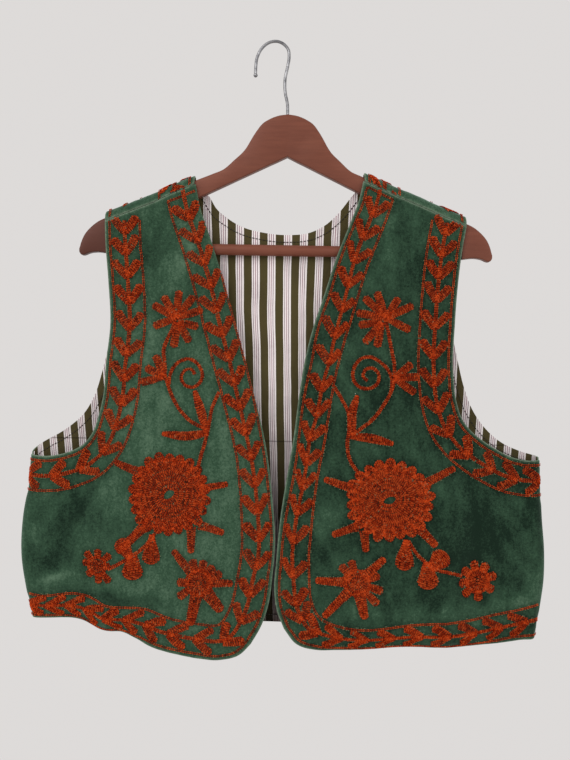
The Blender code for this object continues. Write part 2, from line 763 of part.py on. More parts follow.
def spiral_line(centre):
    """The spiral beside the stem, from its outer end to its middle."""
    count = round(SPIRAL_TURNS * math.pi * (SPIRAL_OUTER + SPIRAL_INNER) / STEM_STEP)
    part = np.linspace(0.0, 1.0, count)
    angle = part * SPIRAL_TURNS * 2 * math.pi
    reach = SPIRAL_OUTER + (SPIRAL_INNER - SPIRAL_OUTER) * part
    return np.array(centre) + np.stack([np.cos(angle), np.sin(angle)], axis=1) * reach[:, None]


def border_shapes(line):
    """Pairs of leaves that form chevrons pointing along a line, joined by the stem between them."""
    count = int((line_length(line) - LEAF_BEHIND) // LEAF_PITCH) + 1
    places, headings = points_along(line, LEAF_BEHIND + LEAF_PITCH * np.arange(count))
    shapes = []
    before = np.concatenate([[line[0]], places[:-1]])
    for place, heading, last in zip(places, headings, before):
        frame = np.stack([turned_left(heading), heading])
        curled = abs(heading[0]) > CURLED_HEADING
        chevron = place + np.array(CHEVRON) @ frame
        shapes.append(split_edges(chevron, LONGEST_CURLED_EDGE) if curled else chevron)
        onward = (place - last) / math.dist(place, last)
        stem = np.array([last + onward * STEM_FROM, place - onward * STEM_TO])
        shapes.append(ribbon_shape(stem, STEM_WIDTH))
    return shapes


def split_edges(outline, longest):
    """The outline with its long edges halved, so that it follows cloth that curls."""
    split = []
    for start, end in zip(outline, np.roll(outline, -1, axis=0)):
        split.append(start)
        if math.dist(start, end) > longest:
            split.append((start + end) / 2)
    return np.array(split)


def offset_line(line, distance):
    """A line from the shoulder to the side, moved to its left, that stops short of the bend at the side."""
    moved = line + turned_left(directions(line)) * distance
    last = line_length(moved) - math.pi / 2 * SIDE_RADIUS - STEM_END
    inner, _ = points_along(moved, np.linspace(STEM_END, last, len(moved)))
    return inner


def stitched(name, shapes, cut):
    """One raised node from stitched shapes that touch or overlap, laid on a front."""
    every = np.concatenate(shapes)
    grid = grid_over(every, STITCH_GRID_STEP, 0.0)
    grid = grid[np.any([inside(shape, grid) for shape in shapes], axis=0)]
    extra = clear_of(grid, every, STITCH_GRID_STEP * STITCH_GRID_CLEARANCE)
    flat, faces = triangulated(shapes, extra)
    return wall(name, flat, faces, front_surface(cut), cut.sign, STITCH_LIFT, STITCH_THICKNESS, "thread")


def shortened(centre, tip, part):
    """A point on the way from a centre to a tip."""
    return (centre[0] + (tip[0] - centre[0]) * part, centre[1] + (tip[1] - centre[1]) * part)


def embroider(cut, motifs, hand):
    """The raised embroidery of one front, a node for each motif."""
    front = front_lines(cut)
    edge_path = np.concatenate([front["edge"], front["hem"][1:]])
    edge_stem = offset_line(edge_path, BORDER_INSET)
    arm_path = front["armhole"][::-1]
    arm_stem = offset_line(arm_path, -BORDER_INSET)
    stitched(f"embroidery_edge_{hand}", border_shapes(edge_stem), cut)
    stitched(f"embroidery_armhole_{hand}", border_shapes(arm_stem), cut)

    rosette = [flower_shape(motifs.rosette, ROSETTE)]
    for tip in motifs.spikes:
        part = SPIKE_ROOT * ROSETTE.radius / math.dist(motifs.rosette, tip)
        rosette.append(leaf_shape(shortened(motifs.rosette, tip, part), tip, SPIKE_WIDTH))
    stitched(f"embroidery_rosette_{hand}", rosette, cut)

    star = [flower_shape(motifs.star, STAR)]
    for tip in motifs.star_tips:
        star.append(leaf_shape(shortened(motifs.star, tip, STAR_SPIKE_ROOT), tip, STAR_SPIKE_WIDTH))
    stitched(f"embroidery_star_{hand}", star, cut)

    side_flower = flower_shape(motifs.side_flower, SIDE_FLOWER)
    stitched(f"embroidery_side_flower_{hand}", [side_flower], cut)
    drop = leaf_shape(motifs.drop[2:], motifs.drop[:2], DROP_WIDTH)
    stitched(f"embroidery_drop_{hand}", [drop], cut)
    bells = [leaf_shape(bell[2:], bell[:2], BELL_WIDTH) for bell in motifs.bells]
    stitched(f"embroidery_bells_{hand}", bells, cut)
    stitched(f"embroidery_vine_{hand}", vine_shapes(motifs), cut)


def vine_shapes(motifs):
    """The stem with its spiral, its leaves, the bud beside it and the blossom at its end."""
    spiral = spiral_line(np.array(motifs.stem[-3]) + SPIRAL_ASIDE)
    shapes = [
        ribbon_shape(smooth_line(motifs.stem, STEM_STEP), STEM_WIDTH),
        ribbon_shape(spiral, STEM_WIDTH),
    ]
    shapes += [leaf_shape(leaf[:2], leaf[2:], LEAF_WIDTH) for leaf in motifs.leaves]
    blossom = np.array(motifs.blossom, float)
    for finger in BLOSSOM_FINGERS:
        below = finger.up < CALYX_BELOW and finger.across < 0.0
        root = blossom + (BLOSSOM_CALYX if below else 0.0)
        shapes.append(leaf_shape(root, blossom + np.array(finger) * BLOSSOM_SCALE, FINGER_WIDTH))
    bud, tips = motifs.bud
    shapes += [flower_shape(centre, KNOT) for centre in (blossom, blossom + BLOSSOM_CALYX, bud)]
    shapes += [leaf_shape(bud, tip, FINGER_WIDTH) for tip in tips]
    return shapes


# ---- hanger ---------------------------------------------------------------------------------------------
def hanger_ring(across, top, underside):
    """One cross-section of the hanger's arm, rounded more on top than below."""
    ring = []
    room = (top - underside) / 2
    over = min(HANGER_TOP_ROUNDING, room)
    under = min(HANGER_UNDERSIDE_ROUNDING, room)
    corners = ((-1, 1, over, 180), (1, 1, over, 90), (1, -1, under, 0), (-1, -1, under, 270))
    for sideways, upward, radius, start in corners:
        middle_y = sideways * (HANGER_HALF_THICKNESS - radius)
        middle_z = (top - radius) if upward > 0 else (underside + radius)
        for degrees in (start, start - 45, start - 90):
            angle = math.radians(degrees)
            depth = middle_y + radius * math.cos(angle)
            ring.append((across, depth, middle_z + radius * math.sin(angle)))
    return ring


def build_hanger_arch():
    """The wooden arch with its two arms, lofted through its sections."""
    sections = [(-row.across, row.top, row.underside) for row in HANGER_SECTIONS[:0:-1]]
    sections += [(row.across, row.top, row.underside) for row in HANGER_SECTIONS]
    rings = [hanger_ring(*section) for section in sections]
    size = len(rings[0])
    points = [np.array(point) for ring in rings for point in ring]
    faces = [list(range(size)), list(range(len(points) - 1, len(points) - size - 1, -1))]
    for ring in range(len(rings) - 1):
        for side in range(size):
            after = (side + 1) % size
            low, high = ring * size, (ring + 1) * size
            faces.append([low + side, high + side, high + after, low + after])
    made_object("hanger_arch", points, faces, "wood")


def build_hanger_bar():
    """The round bar that closes the hanger's triangle."""
    mesh = bpy.data.meshes.new("hanger_bar")
    form = bmesh.new()
    radius = BAR_RADIUS * MM
    bmesh.ops.create_cone(
        form, cap_ends=True, segments=BAR_SIDES, radius1=radius, radius2=radius, depth=2 * BAR_END * MM
    )
    form.to_mesh(mesh)
    form.free()
    mesh.materials.append(material("hanger_bar", "wood"))
    mesh.shade_smooth()
    mesh.set_sharp_from_angle(angle=SHARP_ANGLE)
    bar = linked(bpy.data.objects.new("hanger_bar", mesh))
    bar.rotation_euler = (0.0, math.pi / 2, 0.0)
    bar.location = (0.0, 0.0, BAR_HEIGHT * MM)


def build_hook():
    """The bent wire hook that the hanger hangs by."""
    route = smooth_line(HOOK_ROUTE, HOOK_STEP)
    curve = bpy.data.curves.new("hanger_hook", "CURVE")
    curve.dimensions = "3D"
    curve.bevel_depth = WIRE_RADIUS * MM
    curve.bevel_resolution = WIRE_RESOLUTION
    curve.use_fill_caps = True
    spline = curve.splines.new("POLY")
    spline.points.add(len(route) - 1)
    for point, (across, height) in zip(spline.points, route):
        point.co = (across * MM, 0.0, height * MM, 1.0)
    curve.materials.append(material("hanger_hook", "wire"))
    linked(bpy.data.objects.new("hanger_hook", curve))


def build_cloth():
    """The two velvet fronts, the velvet back and the striped lining behind it."""
    for cut, hand in ((RIGHT, "right"), (LEFT, "left")):
        flat, faces = front_mesh(cut)
        wall(
            f"velvet_front_{hand}", flat, faces, front_surface(cut), cut.sign, -VELVET_FRONT_THICKNESS,
            VELVET_FRONT_THICKNESS, "velvet",
        )
    flat, faces = back_mesh()
    wall(
        "velvet_back", flat, faces, back_surface, -1, -VELVET_BACK_THICKNESS, VELVET_BACK_THICKNESS, "velvet"
    )
    below = VELVET_BACK_THICKNESS + SEAM_GAP + LINING_THICKNESS
    wall("lining_back", flat, faces, back_surface, -1, -below, LINING_THICKNESS, "lining")


def main():
    """Build every piece of the waistcoat and its hanger."""
    for old in list(bpy.data.objects):
        bpy.data.objects.remove(old, do_unlink=True)
    middle = bpy.data.objects.new("hanger_middle", None)
    middle.location = (HANGER_MIDDLE_X * MM, 0.0, 0.0)
    bpy.context.scene.collection.objects.link(middle)
    build_hanger_arch()
    build_hanger_bar()
    build_hook()
    build_cloth()
    embroider(RIGHT, RIGHT_MOTIFS, "right")
    embroider(LEFT, LEFT_MOTIFS, "left")


main()
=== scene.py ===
"""The looks of an embroidered velvet waistcoat that hangs flat on a wooden hanger with a wire hook.

The garment faces -Y, so the wearer's right is at -X. Tables hold millimetres about the hanger's middle,
and every mesh is moved to the row's frame, in metres, as it is made. Each panel is an outline cut from flat
cloth, `across` from the middle to the side and `along` up the cloth, and a drape formula lays it over the
hanger, round the side and under at the hem. Linings and stitches are laid by the same formulas, so they
follow every fold.
"""

import logging
import math
from collections.abc import Callable, Sequence
from dataclasses import dataclass, field
from enum import Enum
from typing import TypeVar

import bpy
import numpy as np
from mathutils import Matrix, Vector
from mathutils.geometry import delaunay_2d_cdt
from numpy.typing import NDArray


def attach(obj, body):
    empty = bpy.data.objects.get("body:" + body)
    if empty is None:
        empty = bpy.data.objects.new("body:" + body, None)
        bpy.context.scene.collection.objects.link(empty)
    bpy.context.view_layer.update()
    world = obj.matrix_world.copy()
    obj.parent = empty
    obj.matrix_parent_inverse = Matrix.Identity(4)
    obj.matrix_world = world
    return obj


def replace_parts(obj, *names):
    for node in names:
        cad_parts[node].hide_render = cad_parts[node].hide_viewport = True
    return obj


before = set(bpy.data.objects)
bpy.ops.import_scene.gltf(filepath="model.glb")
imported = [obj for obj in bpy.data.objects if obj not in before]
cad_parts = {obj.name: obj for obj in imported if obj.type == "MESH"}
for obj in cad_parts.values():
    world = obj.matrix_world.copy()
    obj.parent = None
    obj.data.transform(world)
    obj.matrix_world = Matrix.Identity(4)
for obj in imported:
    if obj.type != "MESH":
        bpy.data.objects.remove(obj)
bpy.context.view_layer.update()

Made = TypeVar("Made")
Array = NDArray[np.float64]
Values = Array | float
Faces = NDArray[np.int64]
Form = tuple[Array, Faces]
Lines = dict[str, Array]
Piece = bpy.types.Object
Material = bpy.types.Material
Socket = bpy.types.NodeSocket
Spot = tuple[float, float]
Settings = dict[str | int, object] | None
Table = tuple[tuple[float, ...], ...]
Triple = tuple[float, float, float]
Colour = Triple
Stops = Sequence[tuple[float, Colour]]
log = logging.getLogger("waistcoat")

MM = 0.001
HANGER_MIDDLE_X = 15.5
NORMAL_STEP = 0.05
LINE_STEP = 1.5
INSET_SLACK = 0.25
SHARP_ANGLE = math.radians(50)
TINY = 1e-9
MOST_PAIRS = 4_000_000


class Hand(Enum):
    """The wearer's own right or left, with the sign of its side of the row's X."""

    RIGHT = -1
    LEFT = 1


# ---- the drape's measures ----
SIDE_RADIUS = 9.0
BOW_REACH = 110.0
ROLL_RADIUS = 9.4
SEAM_BELOW_ROLL = 1.3
SEAM_GAP = 0.3
HEM_CURL_LENGTH = 38.0
SHOULDER_SLOPE = 0.436
SHOULDER_START = (96.0, -150.0)
FOLD_END = 4.0
FOLD_FADE = 20.0
FOLD_ONSET = 0.625
BACK_UNDERARM_LIFT = 2.0
BACK_NECK_INSET = 1.5
OUTER_RAIL = 5.2
RAIL_TO_STEM = 16.2
BORDER_TOP = 90.0
BORDER_FADE = 40.0
SLIDE_FOOT = -592.0
SLIDE_FADE = 45.0
FRONT_EDGE_REACH = 105.0
PUFF_START = 1.5
PUFF_REACH = 9.0
EDGE_ROLL_INSET = 2.6
EDGE_ROLL_REACH = 2.0

# The pile's change of shade where it is crushed or full, and its reach.
CRUSHED_SHADE = -0.22
CRUSHED_REACH = 2.2
FULL_SHADE = 0.16
FULL_INSET = 0.5
FULL_REACH = 1.6
# The pale rim along the edge, partly wear and partly painted highlight: its reach, the front edge's slide
# that hides it, and the most of it hidden.
RIM_WEAR_AND_HIGHLIGHT_REACH = 1.2
HIDING_SLIDE = 5.0
MOST_HIDDEN = 0.8

# Height, and the outer face's depth in front of and behind the middle plane.
DEPTHS: Table = (
    (-664, 20, 12), (-600, 19, 12), (-520, 17, 11.5), (-440, 14.5, 11), (-330, 12, 10), (-240, 10.2, 9.6),
    (-190, 9.5, 9.4), (-140, 9.5, 9.4),
)
# Across, and the shoulder ridge's height above the hanger on the wearer's right and left.
RIDGE_LIFT: Table = ((84, 5.2, 5.2), (122, 6.3, 5.3), (144, 5, 6), (164, 5.6, 6.2), (196, 6.8, 7.4))
# Across and height.
BACK_NECK: Table = (
    (-91, -158), (-85, -166), (-76, -180), (-64, -190), (-48, -199), (-24, -205), (2, -207),
    (26, -204), (42, -196), (57, -182), (70, -165), (75, -158),
)
BACK_HEM: Table = ((-267, -623), (-150, -627), (0, -629), (150, -633), (276, -637))
# The back's edges, and on which side of each line the cloth lies: 1 left, -1 right.
BACK_EDGES = {"neck": -1.0, "armhole_right": -1.0, "armhole_left": 1.0, "hem": 1.0}


# ---- curves on the flat cloth ----
def eased(at: Values, keys: Array, values: Array) -> Array:
    """A table read between its rows on a smooth curve.

    A cubic Hermite piece joins each pair of rows, and the curve stays level beyond the end rows.

    Args:
        at: where the table is read.
        keys: the rows' keys, in any order.
        values: the rows' values.

    Returns:
        The value at each place.
    """
    order = np.argsort(keys)
    keys, values = keys[order], values[order]
    slopes = np.gradient(values, keys)
    where = np.clip(np.asarray(at, float), keys[0], keys[-1])
    left = np.clip(np.searchsorted(keys, where, side="right") - 1, 0, len(keys) - 2)
    gap = keys[left + 1] - keys[left]
    part = (where - keys[left]) / gap
    return (
        (2 * part**3 - 3 * part**2 + 1) * values[left]
        + (part**3 - 2 * part**2 + part) * gap * slopes[left]
        + (3 * part**2 - 2 * part**3) * values[left + 1]
        + (part**3 - part**2) * gap * slopes[left + 1]
    )


def read(table: Table, key: int, value: int, at: Values) -> Array:
    """One column of a table read between its rows, by another column."""
    rows = np.asarray(table, float)
    return eased(at, rows[:, key], rows[:, value])


def lengths(vectors: Array) -> Array:
    """How long each vector of a list is."""
    return np.linalg.norm(vectors, axis=1)


def arc_lengths(line: Array) -> Array:
    """The distance along a line of each of its points."""
    return np.concatenate([[0.0], np.cumsum(lengths(np.diff(line, axis=0)))])


def smooth_line(points: Sequence[Sequence[float]] | Array, step: float) -> Array:
    """Points about `step` apart on a smooth curve through the given ones."""
    points = np.asarray(points, float)
    knots = arc_lengths(points)
    at = np.linspace(0.0, knots[-1], max(2, round(knots[-1] / step) + 1))
    return np.stack([eased(at, knots, points[:, axis]) for axis in range(points.shape[1])], axis=1)


def points_at(line: Array, knots: Array, at: Values) -> Array:
    """Places on a line whose own points lie at the distances `knots` along it."""
    return np.stack([np.interp(at, knots, line[:, axis]) for axis in range(line.shape[1])], axis=-1)


def resampled(line: Array, count: int) -> Array:
    """`count` points evenly spaced along a line."""
    knots = arc_lengths(line)
    return points_at(line, knots, np.linspace(0.0, knots[-1], count))


def headings(line: Array) -> Array:
    """The unit direction of a line at each of its points."""
    slope = np.gradient(line, axis=0)
    return slope / np.maximum(lengths(slope), TINY)[:, None]


def turned_left(direction: Array) -> Array:
    """Directions turned a quarter turn anticlockwise."""
    return np.stack([-direction[..., 1], direction[..., 0]], axis=-1)


def smooth_step(value: Values) -> Array:
    """0 below 0, 1 above 1, and a smooth rise between."""
    part = np.clip(value, 0.0, 1.0)
    return part * part * (3.0 - 2.0 * part)


def raised_cosine(part: Array) -> Array:
    """1 at 0, falling softly to 0 at 1 and at -1."""
    return 0.5 + 0.5 * np.cos(math.pi * np.clip(part, -1.0, 1.0))


def bell(distance: Array, reach: float) -> Array:
    """A bell curve: 1 at 0, and about a third at the reach."""
    return np.exp(-((distance / reach) ** 2))


def inside(outline: Array, points: Array) -> NDArray[np.bool_]:
    """Which points lie inside a closed outline, by counting the edges to their left."""
    x, y = points[:, 0][:, None], points[:, 1][:, None]
    x0, y0 = outline[:, 0], outline[:, 1]
    x1, y1 = np.roll(x0, -1), np.roll(y0, -1)
    rise = np.where(y1 == y0, 1.0, y1 - y0)
    crosses = ((y0 > y) != (y1 > y)) & (x < x0 + (y - y0) / rise * (x1 - x0))
    return crosses.sum(axis=1) % 2 == 1


def nearest(points: Array, others: Array) -> Array:
    """Each point's distance to the nearest of some others."""
    blocks = np.array_split(points, max(1, len(points) * len(others) // MOST_PAIRS))
    found = [np.linalg.norm(block[:, None, :] - others[None, :, :], axis=2).min(axis=1) for block in blocks]
    return np.concatenate(found)


def inset_line(line: Array, distance: float, soften: float = 0.0) -> Array:
    """A line moved to its left, each point square to the line.

    Points that land too near it, inside a tight bend, are left out.

    Args:
        line: the line to move.
        distance: how far to move it, below 0 to its right.
        soften: how far each point's place is averaged, which rounds corners.

    Returns:
        The moved line.
    """
    fine = resampled(line, max(8, round(arc_lengths(line)[-1] / LINE_STEP)))
    moved = fine + turned_left(headings(fine)) * distance
    kept = moved[nearest(moved, fine) > abs(distance) - INSET_SLACK]
    even = resampled(kept, max(8, round(arc_lengths(kept)[-1] / LINE_STEP)))
    reach = round(soften / LINE_STEP)
    if reach == 0:
        return even
    ends = np.concatenate([
        2 * even[0] - even[reach:0:-1], even, 2 * even[-1] - even[-2 : -reach - 2 : -1],
    ])
    weights = np.hanning(2 * reach + 3)[1:-1]
    weights /= weights.sum()
    return np.stack([np.convolve(ends[:, axis], weights, mode="valid") for axis in (0, 1)], axis=1)


# ---- folds ----
@dataclass(frozen=True)
class Fold:
    """A soft fold about a straight line, a raised cosine that fades in from its top to the hem."""

    top: Spot
    foot: Spot
    half_width: float
    depth: float

    def relief(self, across: Array, along: Array) -> Array:
        """How far the cloth stands out at each place, in mm."""
        run = (self.top[1] - along) / (self.top[1] - self.foot[1])
        middle = self.top[0] + (self.foot[0] - self.top[0]) * run
        return self.depth * raised_cosine((across - middle) / self.half_width) * smooth_step(run / FOLD_ONSET)


@dataclass(frozen=True)
class Crease:
    """A short ridge, or a trough below 0, that dies away all round a straight line."""

    start: Spot
    end: Spot
    half_width: float
    depth: float

    def relief(self, across: Array, along: Array) -> Array:
        """How far the cloth stands out: a raised cosine of the distance from the line."""
        run_x, run_y = self.end[0] - self.start[0], self.end[1] - self.start[1]
        part = ((across - self.start[0]) * run_x + (along - self.start[1]) * run_y) / (run_x**2 + run_y**2)
        part = np.clip(part, 0.0, 1.0)
        away = np.hypot(across - self.start[0] - run_x * part, along - self.start[1] - run_y * part)
        return self.depth * raised_cosine(away / self.half_width)


def wandering(flat: Array, reach: float) -> Array:
    """Places moved about, each way by three sines of shorter and shorter waves."""
    x, y = flat[:, 0], flat[:, 1]
    over = np.sin(x / 13 + y / 29) + np.sin(y / 9 - x / 17 + 1.7) + 0.7 * np.sin(x / 4.1 + y / 5.3 + 0.4)
    up = np.sin(y / 15 - x / 31 + 2.1) + np.sin(x / 8 + y / 19) + 0.7 * np.sin(y / 4.7 - x / 3.9 + 2.9)
    return flat + np.stack([over, up], axis=1) * (reach / 3.0)


@dataclass(frozen=True)
class NapAndShadePatch:
    """A soft patch, lighter or darker below 0: partly pile laid by brushing, partly painted highlight and
    shade.
    """

    centre: Spot
    reach: Spot
    degrees: float
    shade: float

    def strength(self, flat: Array) -> Array:
        """The patch's shade at each place: a bell curve in its own turned axes."""
        turn = math.radians(self.degrees)
        off = wandering(flat, 0.9 * min(self.reach)) - np.array(self.centre)
        along = off[:, 0] * math.cos(turn) + off[:, 1] * math.sin(turn)
        beside = off[:, 1] * math.cos(turn) - off[:, 0] * math.sin(turn)
        return self.shade * np.exp(-((along / self.reach[0]) ** 2) - (beside / self.reach[1]) ** 2)


def from_rows(kind: Callable[..., Made], rows: Table) -> tuple[Made, ...]:
    """Folds, creases, or patches of brushing and painted highlight and shade, from rows of two pairs and two
    numbers.
    """
    return tuple(kind(row[:2], row[2:4], *row[4:]) for row in rows)


def relief_of(folds: Sequence[Fold | Crease], across: Array, along: Array) -> Array:
    """All the folds and creases of a panel added together."""
    total = np.zeros(np.broadcast(across, along).shape)
    for fold in folds:
        total = total + fold.relief(across, along)
    return total


# ---- draped faces ----
class Face:
    """A draped face of cloth: flat points in, places in space out."""

    facing: float = 1.0

    def place(self, flat: Array) -> Array:
        """The place in space, in mm, of each point of the flat cloth."""
        raise NotImplementedError

    def lifted(self, flat: Array, height: Values) -> Array:
        """Places out from the face along its normal, the cross product of its slopes across and along.

        Args:
            flat: points on the flat cloth.
            height: how far out each one lies, in mm.

        Returns:
            The places in space, in mm.
        """
        aside, upward = np.array([NORMAL_STEP, 0.0]), np.array([0.0, NORMAL_STEP])
        over = self.place(flat + aside) - self.place(flat - aside)
        up = self.place(flat + upward) - self.place(flat - upward)
        normal = np.cross(over, up) * self.facing
        normal /= np.maximum(lengths(normal), TINY)[:, None]
        return self.place(flat) + normal * np.broadcast_to(height, len(flat))[:, None]


@dataclass(frozen=True)
class FrontFace(Face):
    """One front's cut and hang, with `across` measured outwards from the hanger's middle.

    Rows of the edge, the hem and the armholes are across and height, rows of the side height and across.
    Those of `curl` are across and degrees, of `border_share` across and a share of the border's height, and
    of `edge_slide` height and how far the border's outer rail, stem and inner rail move to the edge.
    """

    hand: Hand
    edge: Table
    hem: Table
    side: Table
    armhole: Table
    back_armhole: Table
    curl: Table
    border_share: Table
    edge_slide: Table
    folds: tuple[Fold | Crease, ...]
    nap: tuple[NapAndShadePatch, ...]

    @property
    def facing(self) -> float:
        """1 where across, along and outwards make a right-handed set, or else -1."""
        return float(self.hand.value)

    def half_width(self, height: Values) -> Array:
        """Half the body's width at a height."""
        return read(self.side, 0, 1, height)

    def side_end(self, height: Values) -> Array:
        """How far across the flat cloth the side seam lies."""
        return self.half_width(height) + (math.pi / 2 - 1.0) * SIDE_RADIUS

    def fold_fade(self, across: Array, height: Array) -> Array:
        """How much of a fold's depth is left near the side: 1 over most of the panel."""
        return smooth_step((self.half_width(height) - FOLD_END - across) / FOLD_FADE)

    def round_side(self, across: Array, height: Array, depth: Array) -> tuple[Array, Array]:
        """The outer face in plan: flat, bowed, then a quarter circle to the side seam."""
        bend_start = self.half_width(height) - SIDE_RADIUS
        turn = np.maximum((across - bend_start) / SIDE_RADIUS, 0.0)
        sideways = np.minimum(across, bend_start) + SIDE_RADIUS * np.sin(turn)
        bow = (depth - SIDE_RADIUS) * smooth_step((bend_start - across) / BOW_REACH)
        return sideways, SEAM_GAP / 2 + SIDE_RADIUS * np.cos(turn) + bow

    def hem_curl(self, across: Array, along: Array) -> tuple[Array, Array]:
        """How far the hem's curl, an arc, lifts the cloth and draws it in."""
        angle = np.radians(read(self.curl, 0, 1, across))
        hem_height = read(self.hem, 0, 1, np.maximum(across, self.hem[2][0]))
        hem_along = hem_height - HEM_CURL_LENGTH * (1.0 - np.sinc(angle / math.pi))
        past = np.clip(hem_along + HEM_CURL_LENGTH - along, 0.0, HEM_CURL_LENGTH)
        turn = angle * past / HEM_CURL_LENGTH
        lift = past * (1.0 - np.sinc(turn / math.pi))
        drawn_in = past * np.sin(turn / 2.0) * np.sinc(turn / math.tau)
        return lift, drawn_in

    def place(self, flat: Array) -> Array:
        """The outer face: bowed over the chest, round the side, curled under at the hem."""
        across, along = flat[:, 0], flat[:, 1]
        sideways, out = self.round_side(across, along, read(DEPTHS, 0, 1, along))
        lift, drawn_in = self.hem_curl(across, along)
        out = out + relief_of(self.folds, across, along) * self.fold_fade(across, along) - drawn_in
        return np.stack([self.hand.value * sideways, -out, along + lift], axis=-1)

    def ridge_height(self, across: Values) -> Array:
        """The height of the shoulder's ridge over the hanger's arm."""
        column = 1 if self.hand is Hand.RIGHT else 2
        slope = SHOULDER_SLOPE * (np.asarray(across, float) - SHOULDER_START[0])
        return SHOULDER_START[1] - slope + read(RIDGE_LIFT, 0, column, across)

    def roll_start(self, across: Values) -> Array:
        """The height where the back leaves its flat fall and rolls over the shoulder."""
        return self.ridge_height(across) - ROLL_RADIUS

    def hem_cut(self) -> Array:
        """The hem's line on the flat cloth, which the curl makes look shorter."""
        across, height = np.asarray(self.hem, float).T
        angle = np.radians(read(self.curl, 0, 1, across))
        cut = height - HEM_CURL_LENGTH * (1.0 - np.sinc(angle / math.pi))
        bend_start = self.half_width(height) - SIDE_RADIUS
        past = np.clip((across - bend_start) / SIDE_RADIUS, 0.0, 1.0)
        flat = np.minimum(across, bend_start) + SIDE_RADIUS * np.arcsin(past)
        flat[-1] = self.side_end(cut[-1])
        return np.stack([flat, cut], axis=1)

    def narrowed(self, flat: Array) -> Array:
        """Points of the hem's border drawn to the hem: their heights take its share."""
        cut = self.hem_cut()
        floor = np.interp(flat[:, 0], cut[:, 0], cut[:, 1])
        height = flat[:, 1] - floor
        near = smooth_step((BORDER_TOP - height) / BORDER_FADE)
        lost = (1.0 - read(self.border_share, 0, 1, flat[:, 0])) * near
        return np.stack([flat[:, 0], floor + height * (1.0 - lost)], axis=1)

    def slid(self, flat: Array) -> Array:
        """Points of the front edge's border moved sideways towards the edge.

        A point between two of the border's lines takes its share of both their moves, which die away above
        the hem's border.
        """
        height = flat[:, 1]
        outer, stem, inner = (read(self.edge_slide, 0, column, height) for column in (1, 2, 3))
        place = np.clip((flat[:, 0] - read(self.edge, 1, 0, height) - OUTER_RAIL) / RAIL_TO_STEM, 0.0, 2.0)
        move = outer * np.maximum(1.0 - place, 0.0) + stem * (1.0 - np.abs(1.0 - place))
        move = move + inner * np.maximum(place - 1.0, 0.0)
        move = move * smooth_step((height - SLIDE_FOOT) / SLIDE_FADE)
        return flat - np.stack([move, np.zeros(len(flat))], axis=1)

    def lines(self, step: float) -> Lines:
        """The front's edge, hem, side, armhole and shoulder seam on the flat cloth."""
        start, stop = self.edge[0][0], self.armhole[-1][0]
        across = np.linspace(start, stop, round(abs(stop - start) / step))
        seam = np.stack([across, self.roll_start(across) - SEAM_BELOW_ROLL - SEAM_GAP], axis=1)
        hem = self.hem_cut()
        under = self.side[-1][0]
        corner = (float(self.side_end(under)), under)
        heights = np.linspace(hem[-1, 1], under, round((under - hem[-1, 1]) / step))
        return {
            "edge": smooth_line([tuple(seam[0]), *self.edge[1:]], step),
            "hem": smooth_line(hem, step),
            "side": np.stack([self.side_end(heights), heights], axis=1),
            "armhole": smooth_line([corner, *self.armhole[:-1], tuple(seam[-1])], step),
            "seam": seam,
        }

    def outline(self, step: float) -> Array:
        """The front's closed outline on the flat cloth."""
        lines = self.lines(step)
        seam, hem = lines["seam"][::-1], lines["hem"]
        return closed([hem, lines["side"], lines["armhole"], seam, lines["edge"]], step)


